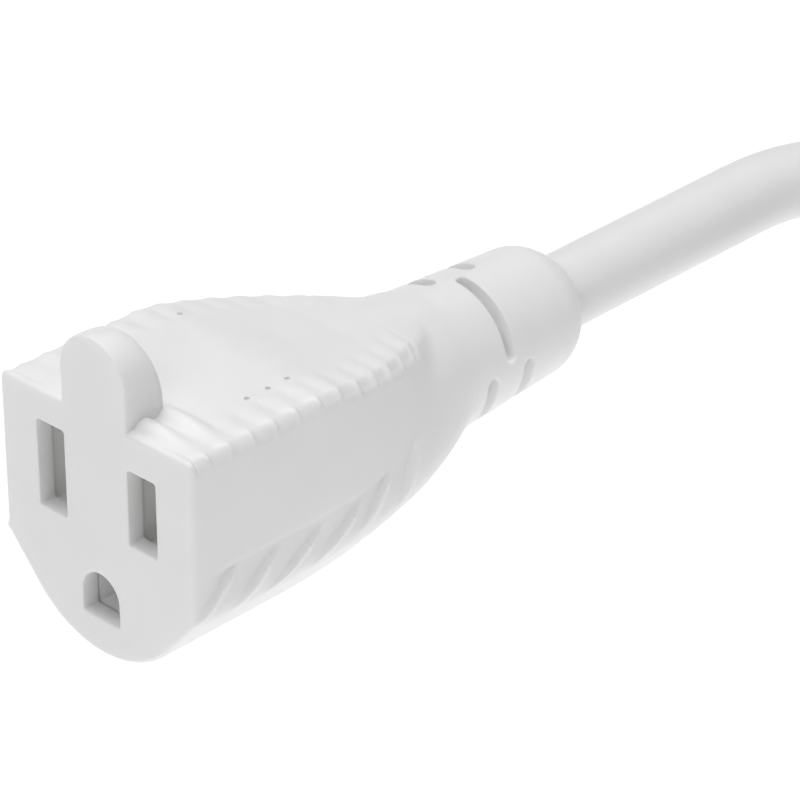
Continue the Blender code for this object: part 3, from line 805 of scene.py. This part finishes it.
    def build(
        self, plug: Seat, plug_end: float, cord_height: float
    ) -> tuple[bpy.types.Object, np.ndarray]:
        """The cord as a round tube along its route.

        Formula: at each point the level direction square to the tangent, and the one square to both,
        carry a circle.

        Args:
            plug: The plug's frame.
            plug_end: How far the plug reaches along its own y, in millimetres.
            cord_height: The cord's height in the plug's frame, in millimetres.

        Returns:
            The tube and the route that it follows.
        """
        route = self.centreline(plug, plug_end, cord_height)
        tangent = np.gradient(route, axis=0)
        tangent /= np.linalg.norm(tangent, axis=1, keepdims=True)
        level = np.cross(tangent, (0.0, 0.0, 1.0))
        level /= np.linalg.norm(level, axis=1, keepdims=True)
        upward = np.cross(level, tangent)
        turn = 2.0 * math.pi * np.arange(self.sides) / self.sides
        circle = np.cos(turn)[None, :, None] * level[:, None]
        circle = circle + np.sin(turn)[None, :, None] * upward[:, None]
        tube = route[:, None] + self.radius * MM * circle
        piece = new_piece("cord", tube, tube_faces(len(route), self.sides))
        self.unwrap(piece.data, len(route))
        smooth(piece.data)
        return piece, route

    def unwrap(self, mesh: bpy.types.Mesh, rows: int) -> None:
        """A UV map whose u goes round the cord and whose v goes along it.

        Args:
            mesh: The tube.
            rows: How many rings it has.
        """
        corner = corner_points(mesh)
        u = (corner % self.sides) / self.sides
        v = (corner // self.sides) / rows * self.map_length
        starts = np.empty(len(mesh.polygons), np.int32)
        totals = np.empty(len(mesh.polygons), np.int32)
        mesh.polygons.foreach_get("loop_start", starts)
        mesh.polygons.foreach_get("loop_total", totals)
        quads = starts[totals == 4][:, None] + np.arange(4)
        edge = u[quads]
        wraps = (edge.max(axis=1) - edge.min(axis=1)) > 0.5
        u[quads] = np.where(wraps[:, None] & (edge < 0.5), edge + 1.0, edge)
        lay_map(mesh, "along", u, v)


@dataclass
class CoilStrap:
    """A hook-and-loop strap round the bundle of turns, its end lapped over on the outside."""

    cord: FreeCord
    half_span: float = 8.0
    thickness: float = 0.9
    gap: float = 0.35
    lap: float = 0.34
    start: float = 0.2
    lap_step: tuple[float, float] = (1.14, 1.22)
    end_taper: float = 0.35
    taper_start: float = 0.975
    layers: int = 3
    columns: int = 220
    around: int = 36
    map_size: tuple[float, float] = (0.11, 0.0075)

    def path(self) -> tuple[np.ndarray, np.ndarray]:
        """The strap's middle line round the bundle, as reach and height, and the direction that faces out.

        Formula: the outline of a band pulled tight round the corner turns, followed for one turn and the
        length of the lap, stepping out by a little more than its thickness where it lies on itself.

        Returns:
            Two arrays (n, 2).
        """
        cord = self.cord
        low = cord.floor_height + cord.strap_lift
        high = low + 2.0 * cord.radius * (self.layers - 1)
        grow = cord.radius + self.gap + self.thickness / 2.0
        middles = (cord.mean_radius - cord.radius, cord.mean_radius + cord.radius)
        corners = [(middle, z, grow) for middle in middles for z in (low, high)]
        outline = tight_band(corners, self.columns, 0.3)
        end = self.start + 1.0 + self.lap
        share = np.linspace(self.start, end, int(self.columns * (1.0 + self.lap)))
        at = np.arange(self.columns + 1) / self.columns
        closed = np.concatenate([outline, outline[:1]])
        line = np.stack([np.interp(share % 1.0, at, closed[:, k]) for k in range(2)], axis=1)
        slope = np.gradient(line, axis=0)
        slope /= np.linalg.norm(slope, axis=1, keepdims=True)
        outward = np.stack([slope[:, 1], -slope[:, 0]], axis=1)
        step = eased(*self.lap_step, share) * (self.thickness + 0.1)
        return line + outward * step[:, None], outward

    def build(self) -> bpy.types.Object:
        """The strap as a thick ribbon with rounded edges.

        Formula: a flattened oval, carried along the middle line and spread over an angle of the coil.

        Returns:
            The strap.
        """
        line, outward = self.path()
        turn = 2.0 * math.pi * np.arange(self.around) / self.around
        wide = np.sign(np.cos(turn)) * np.abs(np.cos(turn)) ** 0.35
        thick = np.sign(np.sin(turn)) * np.abs(np.sin(turn)) ** 0.5 * self.thickness / 2.0
        rows = np.linspace(0.0, 1.0, len(line))
        ends = eased(self.taper_start, 1.0, rows) ** 2 + eased(self.taper_start, 1.0, 1.0 - rows) ** 2
        narrow = 1.0 - self.end_taper * ends
        angle = np.radians(self.cord.strap_angle + self.half_span * wide[None, :] * narrow[:, None])
        reach = line[:, 0:1] + outward[:, 0:1] * thick
        height = line[:, 1:2] + outward[:, 1:2] * thick
        x = self.cord.centre[0] + reach * np.cos(angle)
        y = self.cord.centre[1] + reach * np.sin(angle)
        points = np.stack([x, y, height], axis=-1) * MM
        strap = new_piece("coil_strap", points, tube_faces(len(line), self.around))
        corner = corner_points(strap.data)
        along = (corner // self.around) / len(line) * self.map_size[0]
        lay_map(strap.data, "weave", along, wide[corner % self.around] * self.map_size[1])
        shade(strap)
        return strap


# ------------------------------------------------------------------------------------------------
# Mouldings
# ------------------------------------------------------------------------------------------------
@dataclass(frozen=True)
class GripRidge:
    """One slanted finger ridge low on a side: its foot and its tip, as y and z in millimetres."""

    foot: tuple[float, float]
    tip: tuple[float, float]
    front: float = 0.75
    crest: float = 0.15
    back: float = 1.0
    back_growth: float = 1.6

    def height(self, y: np.ndarray, z: np.ndarray) -> np.ndarray:
        """The ridge's height over the side.

        Formula: a smooth step up to the crest line and a longer one down behind it, which widens towards
        the foot. The whole is faded in below the tip and out below the foot.

        Args:
            y: Distances along the moulding.
            z: Heights.

        Returns:
            Heights from 0 to 1.
        """
        lean = (self.tip[0] - self.foot[0]) / (self.tip[1] - self.foot[1])
        behind = y - self.foot[0] - lean * np.maximum(z - self.foot[1], -3.0)
        long = self.back + self.back_growth * eased(0.0, 3.0, self.tip[1] - z)
        ramp = eased(-self.front, self.crest, behind)
        ramp = ramp * (1.0 - eased(0.0, 1.0, (behind - self.crest) / long))
        fade = eased(0.0, 1.3, self.tip[1] - z) * eased(-4.0, -1.0, z - self.foot[1])
        return ramp * fade


@dataclass
class Moulding:
    """The outer form that the connector and the plug share, and its surface detail."""

    seat: Seat
    name: str
    front: float = 0.0
    half_width: float = 13.35
    top: float = 8.18
    bottom: float = -18.4
    edge_radius: float = 0.8
    side_fillet: float = 4.0
    side_fillet_z: float = -8.12
    bottom_radius: float = 12.3
    face_bevel: float = 0.5
    cord_z: float = -3.9
    length: float = 64.0
    taper_start: float = 14.0
    neck_start: float = 44.5
    taper_power: float = 2.5
    shoulder_start: float = 17.0
    shoulder_curve: float = 0.01435
    ramp_start: float = 19.0
    ramp_slope: float = 0.2
    ramp_blend: float = 3.0
    neck_radius: float = 8.1
    neck_end_radius: float = 7.2
    neck_round_start: float = 59.7
    neck_tip_radius: float = 4.95
    rib_pitch: float = 2.95
    first_crest: float = 2.4
    ribs_end: float = 36.33
    rib_height: float = 0.16
    roll_height: float = 0.7
    scoop_depth: float = 0.42
    far_scoop_share: float = 0.35
    crest_width: float = 0.38
    relief_rings: tuple[Point, ...] = ((47.4, 1.6, 95.0), (50.3, 1.3, 5.0), (53.2, 1.6, 95.0))
    relief_span: float = 85.0
    relief_floor: float = 5.8
    lip: float = 0.2
    columns: int = 360
    ridge_height: float = 0.55
    panel_depth: float = 0.16
    ridges: tuple[GripRidge, ...] = (
        GripRidge((3.2, -6.7), (5.65, -4.7)),
        GripRidge((8.9, -7.0), (11.1, -5.2)),
        GripRidge((14.6, -7.1), (17.3, -5.4)),
        GripRidge((20.6, -6.8), (22.8, -5.3)),
        GripRidge((25.6, -5.9), (27.6, -3.9)),
        GripRidge((30.2, -6.15), (32.2, -2.65)),
    )
    pits: tuple[tuple[float, float], ...] = ((7.85, 12.6), (7.9, 15.35), (7.83, 18.0), (-9.2, 20.0))
    pit_levels: tuple[tuple[float, float], ...] = ((0.2, 7.5), (0.27, 7.65), (0.29, 9.0))
    room_outline: tuple[tuple[float, float], ...] = ((4.7, -16.2), (4.7, -6.7), (10.9, -6.7), (10.9, 6.2))
    wire_room: float = 2.2
    core_reach: float = 1.68
    core_angles: tuple[float, ...] = (30.0, 150.0, 270.0)
    bore_radius: float = 4.45

    def ramp_drop(self, y: np.ndarray) -> np.ndarray:
        """How far the top has come down at y: a straight ramp with a rounded start."""
        past = np.maximum(0.0, y - self.ramp_start + self.ramp_blend / 2.0)
        curved = past**2 / (2.0 * self.ramp_blend)
        return self.ramp_slope * np.where(past < self.ramp_blend, curved, past - self.ramp_blend / 2.0)

    def neck(self, y: float) -> float:
        """The strain relief's radius: a slight cone with a rounded end."""
        if y <= self.neck_round_start:
            share = (y - self.neck_start) / (self.neck_round_start - self.neck_start)
            return self.neck_radius - (self.neck_radius - self.neck_end_radius) * share
        share = (y - self.neck_round_start) / (self.length - self.neck_round_start)
        return self.neck_end_radius - (self.neck_end_radius - self.neck_tip_radius) * share**2

    def corner_x(self, y: np.ndarray) -> np.ndarray:
        """How far from the middle the top's edge is: constant, then curving in along a parabola."""
        return self.half_width - self.shoulder_curve * np.maximum(0.0, y - self.shoulder_start) ** 2

    def section(self, y: float, shrink: float = 0.0) -> list[Circle]:
        """The circles whose tight band is the outline at y.

        Args:
            y: Distance along the moulding.
            shrink: How much smaller the outline is drawn.

        Returns:
            The circles.
        """
        if y >= self.neck_start:
            return [(0.0, self.cord_z, self.neck(y) - shrink)]
        share = max(0.0, (y - self.taper_start) / (self.neck_start - self.taper_start))
        keep = 1.0 - share**self.taper_power
        side_x = keep * (self.half_width - self.side_fillet)
        side_z = self.cord_z + keep * (self.side_fillet_z - self.cord_z)
        side_r = self.neck_radius + keep * (self.side_fillet - self.neck_radius) - shrink
        low_z = self.cord_z + keep * (self.bottom + self.bottom_radius - self.cord_z)
        low_r = self.neck_radius + keep * (self.bottom_radius - self.neck_radius) - shrink
        past = max(0.0, y - self.shoulder_start)
        radius = self.edge_radius * (1.0 + 1.5 * past / (self.neck_start - self.shoulder_start))
        top_x = max(0.0, float(self.corner_x(np.array(y))) - radius)
        top_z = self.top - float(self.ramp_drop(np.array(y))) - radius
        radius -= shrink
        circles = [(side_x, side_z, side_r), (-side_x, side_z, side_r), (0.0, low_z, low_r)]
        return circles + [(top_x, top_z, radius), (-top_x, top_z, radius)]

    def stations(self) -> list[tuple[float, float]]:
        """Distance and shrink of each row: a quarter-round face edge, then steps that suit the detail."""
        face = [(self.front + depth, shrink) for depth, shrink in rounded_edge(self.face_bevel, 7)]
        fine = np.arange(self.front + self.face_bevel + 0.25, 37.0, 0.25)
        middle = np.arange(37.3, self.neck_start, 0.45)
        neck = np.linspace(self.neck_start, self.neck_round_start, 26)
        tip = np.linspace(self.neck_round_start + 0.3, self.length, 15)
        return face + [(float(y), 0.0) for y in np.concatenate([fine, middle, neck, tip])]

    def skin(self) -> np.ndarray:
        """The outer surface with its ribs, ridges and pits, as rings (rows, columns, 3)."""
        rows = self.stations()
        rings = [lifted(tight_band(self.section(y, shrink), self.columns), y) for y, shrink in rows]
        surface = np.stack(rings)
        down_rows = np.gradient(surface, axis=0)
        round_rows = np.roll(surface, -1, axis=1) - np.roll(surface, 1, axis=1)
        normal = np.cross(down_rows, round_rows)
        normal /= np.maximum(np.linalg.norm(normal, axis=2, keepdims=True), 1e-9)
        from_core = normal * (surface - (0.0, 0.0, self.cord_z))
        normal = normal * np.sign(from_core[..., (0, 2)].sum(axis=2, keepdims=True))
        x, y, z = surface[..., 0], surface[..., 1], surface[..., 2]
        across, raised = self.ribs(x, y, z)
        dented = self.grips(y, z) * eased(0.25, 0.75, np.abs(normal[..., 0]))
        moved = surface + normal * dented[..., None]
        moved[..., 0] += across
        moved[..., 2] += raised
        return moved

    def ribs(self, x: np.ndarray, y: np.ndarray, z: np.ndarray) -> tuple[np.ndarray, np.ndarray]:
        """How far the cross ribs along both top edges move the surface, across and up.

        Formula: along y a raised cosine gives crests and valleys. Over the top they are a shallow wave that
        fades some millimetres in from the edge. At the edge a bell curve round each crest is left standing
        and the valleys are scooped out, and beside the tab the first two crests swell into rolls.

        Args:
            x: Places across.
            y: Places along.
            z: Heights.

        Returns:
            The move across and the move up, in millimetres.
        """
        wave = 0.5 + 0.5 * np.cos(2.0 * math.pi * (y - self.first_crest) / self.rib_pitch)
        away = (y - self.first_crest + self.rib_pitch / 2.0) % self.rib_pitch - self.rib_pitch / 2.0
        valley = 1.0 - np.exp(-((away / self.crest_width) ** 2))
        inward = self.corner_x(y) - np.abs(x)
        under = self.top - self.ramp_drop(y) - z
        lengthwise = eased(0.5, 1.0, y - self.front)
        lengthwise = lengthwise * (1.0 - eased(self.ribs_end - 0.5, self.ribs_end, y))
        on_top = 1.0 - eased(0.5, 1.2, under)
        first_two = (y < self.first_crest + 1.5 * self.rib_pitch) & (y > self.front)
        by_tab = eased(3.3, 4.5, np.abs(x)) * (1.0 - 0.8 * eased(6.5, 12.0, np.abs(x)))
        rolls = np.where(first_two & (x > 0.0), self.roll_height * by_tab, 0.0) * (self.front < 1.0)
        by_edge = 1.0 - eased(3.3, 5.6, inward)
        shallow = self.rib_height * by_edge * eased(0.0, 1.5, inward)
        swell = (np.maximum(shallow, rolls) * wave**0.7 - 0.1 * by_edge) * on_top
        scoop = self.scoop_depth * valley * (1.0 - eased(0.1, 1.7, inward))
        scoop *= 1.0 - eased(0.3, 1.8, under)
        scoop *= np.where(x > 0.0, 1.0, self.far_scoop_share)
        return -np.sign(x) * scoop * lengthwise, (swell - 0.4 * scoop) * lengthwise

    def grips(self, y: np.ndarray, z: np.ndarray) -> np.ndarray:
        """How far the finger ridges and the shallow panels between them move the lower sides outwards.

        Args:
            y: Places along.
            z: Heights.

        Returns:
            The move in millimetres.
        """
        ridge = np.zeros_like(y)
        for one in self.ridges:
            if one.foot[0] > self.front + 1.0:
                ridge = np.maximum(ridge, one.height(y, z))
        upper = -4.4 + 0.06 * np.maximum(0.0, y - 22.0)
        panel = eased(0.0, 0.45, upper - z) * eased(-12.0, -7.0, z)
        ends = eased(2.0, 3.4, y - self.front) * (1.0 - eased(31.5, 34.0, y))
        return (self.ridge_height * ridge - self.panel_depth * panel * ends) * (y > self.front)

    def cut_pits(self, body: bpy.types.Object) -> None:
        """Sink the small round pits that ejector pins leave on the top.

        Args:
            body: The solid.
        """
        turn = 2.0 * math.pi * np.arange(24) / 24
        circle = np.stack([np.cos(turn), np.sin(turn), np.zeros_like(turn)], axis=1)
        for x, y in self.pits:
            if y > self.front + 4.0:
                rings = [circle * radius + (x, y, z) for radius, z in self.pit_levels]
                combine(body, loft("pit", np.stack(rings), self.seat), Cut.REMOVE)

    def shell(self) -> bpy.types.Object:
        """The outer form as a solid."""
        return loft(self.name, self.skin(), self.seat)

    def relief_cutter(self, y: float, width: float, first: float) -> bpy.types.Object:
        """The space of one quarter slot in the strain relief, with rounded ends and a rounded lip.

        Formula: a stadium in distance round and distance along, carried outwards from the slot's floor. It
        grows along a quarter circle where it meets the strain relief's surface. Each row lies across it.

        Args:
            y: The slot's middle along the moulding.
            width: Its width.
            first: The angle where it starts, in degrees.

        Returns:
            The cutter.
        """
        surface = self.neck(y)
        rise = np.radians(np.linspace(0.0, 90.0, 6))
        lip = self.lip
        levels = [(self.relief_floor, 0.0)]
        levels += [(surface - lip + lip * math.sin(a), lip * (1.0 - math.cos(a))) for a in rise]
        levels += [(surface + 0.4, lip + 0.3), (surface + 2.0, lip + 0.3)]
        reach, grow = np.array(levels).T
        half = width / 2.0 + grow
        long = math.radians(self.relief_span) * surface / 2.0 + grow
        place = np.sin(np.linspace(-math.pi / 2.0, math.pi / 2.0, 65))[:, None] * long
        past = np.maximum(0.0, np.abs(place) - (long - half))
        wide = np.sqrt(np.maximum(0.0, half**2 - past**2))
        angle = math.radians(first + self.relief_span / 2.0) + place / surface
        around = np.concatenate([angle, angle[:, ::-1]], axis=1)
        along = np.concatenate([-wide, wide[:, ::-1]], axis=1)
        ring = np.concatenate([reach, reach[::-1]])[None]
        x = ring * np.cos(around)
        z = self.cord_z + ring * np.sin(around)
        points = np.stack([x, y + along, z], axis=-1)
        return new_piece("relief_cutter", self.seat.place(points), ring_faces(*points.shape[:2]))

    def cut_reliefs(self, body: bpy.types.Object) -> None:
        """Cut the quarter slots; opposite quarters are cut in each ring, and the rings take turns."""
        for y, width, first in self.relief_rings:
            for start in (first, first + 180.0):
                combine(body, self.relief_cutter(y, width, start), Cut.REMOVE)

    def opening(self, circles: Sequence[Circle], depth: float, lip: float) -> bpy.types.Object:
        """The space of an opening in the mating face, with a rounded lip.

        Formula: the tight band round the circles, whose radii grow by a quarter circle where it meets the
        face.

        Args:
            circles: (x, z, radius) of the opening's corners.
            depth: How deep it goes.
            lip: The lip's radius.

        Returns:
            The cutter.
        """
        rise = np.radians(np.linspace(0.0, 90.0, 6))
        levels = [(-1.5, lip)]
        levels += [(lip * (1.0 - math.cos(a)), lip * (1.0 - math.sin(a))) for a in rise]
        levels.append((depth, 0.0))
        rings = []
        for y, grow in levels:
            band = tight_band([(x, z, radius + grow) for x, z, radius in circles], 96, 0.6)
            rings.append(lifted(band, self.front + y))
        return loft("opening", np.stack(rings), self.seat)

    def hollow(self, body: bpy.types.Object, cavity_end: float, jacket_start: float) -> None:
        """Remove the room for the insert, the wires and the cord.

        Args:
            body: The solid.
            cavity_end: How far behind the face the insert's room ends.
            jacket_start: Where the cord's jacket starts along the moulding.
        """
        right = np.array(self.room_outline)
        outline = np.concatenate([right, right[::-1] * (-1.0, 1.0)])
        cavity = np.stack([lifted(outline, self.front + y) for y in (2.0, cavity_end)])
        combine(body, loft("insert_room", cavity, self.seat), Cut.REMOVE)
        start = self.front + cavity_end - 0.3
        spots = ((BLADE_X, 0.0), (-BLADE_X, 0.0), (0.0, GROUND_Z))
        cores = [(math.cos(a), math.sin(a)) for a in np.radians(self.core_angles)]
        rings = []
        for share in np.linspace(0.0, 1.0, 9):
            blend = eased(0.0, 1.0, share)
            wires = []
            for (x, z), (u, v) in zip(spots, cores):
                end_x, end_z = self.core_reach * u, self.cord_z + self.core_reach * v
                wires.append((x + (end_x - x) * blend, z + (end_z - z) * blend, self.wire_room))
            rings.append(lifted(tight_band(wires, 96), start + (jacket_start - start) * float(share)))
        combine(body, loft("wire_room", np.stack(rings), self.seat), Cut.REMOVE)
        bore = tight_band([(0.0, self.cord_z, self.bore_radius)], 96)
        rings = [lifted(bore, y) for y in (jacket_start - 0.5, self.length + 1.0)]
        combine(body, loft("cord_bore", np.stack(rings), self.seat), Cut.REMOVE)


@dataclass
class Connector:
    """The female end: the moulding with its finger tab, its two blade slots and its ground hole."""

    seat: Seat
    slot_width: float = 3.93
    neutral_height: float = 9.6
    line_height: float = 8.3
    slot_corner: float = 0.32
    slot_depth: float = 2.5
    slot_lip: float = 0.18
    ground_floor: float = -14.42
    ground_half: float = 2.6
    tab_half: float = 4.5
    tab_top: float = 16.65
    tab_root: float = 7.5
    tab_length: float = 5.5
    tab_edge: float = 0.3
    tab_foot: float = 8.1
    flare_height: float = 1.2
    flare_length: float = 1.5
    insert_room_end: float = 23.7
    jacket_start: float = 40.0

    def tab_rows(self) -> list[tuple[float, float]]:
        """Depth and shrink of each row of the tab: its front edge, its curved back, its flared foot."""
        angles = np.radians(np.concatenate([np.linspace(3.0, 60.0, 20), np.linspace(63.0, 89.3, 24)]))
        rows = rounded_edge(self.tab_edge, 6)
        rows += [(self.tab_length * math.sin(a) ** 0.5, 0.0) for a in angles]
        flare = np.linspace(0.08, 1.0, 10)
        return rows + [(self.tab_length + self.flare_length * share, 0.0) for share in flare]

    def tab(self) -> bpy.types.Object:
        """The finger tab that stands over the mating face.

        Formula: a round-topped arch whose height falls towards the back along a fourth-power ellipse and
        whose width narrows along a tenth-power one. Its front edge is a quarter circle, and its foot runs
        out in a flare.

        Returns:
            The tab as a solid.
        """
        rings = []
        for depth, shrink in self.tab_rows():
            back = min(depth / self.tab_length, 0.9999)
            past = max(0.0, depth - self.tab_length) / self.flare_length
            top = self.tab_root + (self.tab_top - self.tab_root) * (1.0 - back**4) ** 0.25
            top = max(top, self.tab_foot + self.flare_height * max(0.0, 1.0 - past) ** 2.5)
            narrow = self.tab_half * (1.0 - back**10) ** 0.1
            half = min(narrow, (top - self.tab_root) * 0.9) - shrink
            circles = [(0.0, top - shrink - half, half)]
            circles += [(side * (half - 0.05), self.tab_root - 0.9, 0.05) for side in (1.0, -1.0)]
            rings.append(lifted(tight_band(circles, 120, 0.3), depth))
        return loft("tab", np.stack(rings), self.seat)

    def build(self) -> bpy.types.Object:
        """The connector's shell."""
        form = Moulding(self.seat, "connector_shell")
        body = form.shell()
        combine(body, self.tab(), Cut.ADD)
        form.cut_pits(body)
        form.cut_reliefs(body)
        form.hollow(body, self.insert_room_end, self.jacket_start)
        half, corner = self.slot_width / 2.0, self.slot_corner
        neutral = rectangle(-BLADE_X, half, self.neutral_height / 2.0, corner)
        line = rectangle(BLADE_X, half, self.line_height / 2.0, corner)
        ground = [(0.0, GROUND_Z, self.ground_half)]
        reach, foot = self.ground_half - corner, self.ground_floor + corner
        ground += [(side * reach, foot, corner) for side in (-1.0, 1.0)]
        for circles in (neutral, line, ground):
            combine(body, form.opening(circles, self.slot_depth, self.slot_lip), Cut.REMOVE)
        shade(body)
        return body


@dataclass
class Plug:
    """The male end: the same moulding with a shorter front, round two blades and a ground pin."""

    seat: Seat
    front: float = 10.0
    line_half: float = 3.475
    neutral_half: float = 4.25
    blade_half: float = 1.05
    blade_corner: float = 0.3
    pin_reach: float = 2.68
    slot_depth: float = 2.5
    slot_lip: float = 0.15
    insert_room_end: float = 12.5
    jacket_start: float = 40.0

    def build(self) -> bpy.types.Object:
        """The plug's shell."""
        form = Moulding(self.seat, "plug_shell", front=self.front)
        body = form.shell()
        form.cut_pits(body)
        form.cut_reliefs(body)
        form.hollow(body, self.insert_room_end, self.jacket_start)
        line = rectangle(-BLADE_X, self.blade_half, self.line_half, self.blade_corner)
        neutral = rectangle(BLADE_X, self.blade_half, self.neutral_half, self.blade_corner)
        for circles in (line, neutral, [(0.0, GROUND_Z, self.pin_reach)]):
            combine(body, form.opening(circles, self.slot_depth, self.slot_lip), Cut.REMOVE)
        shade(body)
        return body


# ------------------------------------------------------------------------------------------------
# The CAD nodes that stay
# ------------------------------------------------------------------------------------------------
KEPT: dict[str, Slot] = {
    "contact_carrier": Slot.INSERT,
    "carrier_cover": Slot.INSERT,
    "blade_holder": Slot.INSERT,
    "line_contact": Slot.BRASS,
    "neutral_contact": Slot.BRASS,
    "ground_contact": Slot.BRASS,
    "line_blade": Slot.NICKEL,
    "neutral_blade": Slot.NICKEL,
    "ground_pin": Slot.NICKEL,
}
WIRES: dict[str, Slot] = {"line": Slot.BLACK_WIRE, "neutral": Slot.WHITE_WIRE, "ground": Slot.GREEN_WIRE}


@dataclass
class InnerParts:
    """The contacts, carriers, wires and blades, which keep their CAD shapes."""

    nodes: dict[str, bpy.types.Object]
    finishes: dict[Slot, bpy.types.Material]

    def dress(self) -> None:
        """Give every kept node its finish."""
        chosen = dict(KEPT)
        for end in ("connector", "plug"):
            for wire, slot in WIRES.items():
                chosen[f"{end}_{wire}_insulation"] = slot
                chosen[f"{end}_{wire}_conductor"] = Slot.COPPER
        for name, slot in chosen.items():
            for held in self.nodes[name].material_slots:
                held.material = self.finishes[slot]
            LOG.info("%s: %s", name, slot.value)


def main() -> None:
    """Build the whole model round the frame."""
    logging.basicConfig(level=logging.INFO, format="%(name)s %(message)s")
    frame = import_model()
    mounts = {mount["name"]: mount for mount in frame["record"]["mounts"]}
    socket = Seat.from_mount(mounts["socket_face"], (0.0, 0.0, 1.0), 0.0)
    plug_seat = Seat.from_mount(mounts["plug_face"], (0.0, 0.0, -1.0), Plug.front)
    finishes = {slot: finish.make() for slot, finish in FINISHES.items()}
    Studio().build()
    cord = FreeCord()
    tube, route = cord.build(plug_seat, Moulding.length, Moulding.cord_z)
    carry(tube, finishes[Slot.JACKET], Slot.JACKET, "cord_lead", "cord_coil", "cord_tail")
    strap = CoilStrap(cord).build()
    carry(strap, finishes[Slot.STRAP], Slot.STRAP, "coil_tie")
    plug = Plug(plug_seat).build()
    carry(plug, finishes[Slot.VINYL], Slot.VINYL, "plug_body")
    connector = Connector(socket).build()
    carry(connector, finishes[Slot.VINYL], Slot.VINYL, "connector_body")
    nodes = frame["nodes"]
    InnerParts(nodes, finishes).dress()
    on_plug = [node for name, node in nodes.items() if name.startswith("plug_") and name != "plug_body"]
    on_plug += [nodes[name] for name in ("blade_holder", "line_blade", "neutral_blade", "ground_pin")]


if __name__ == "__main__":
    main()
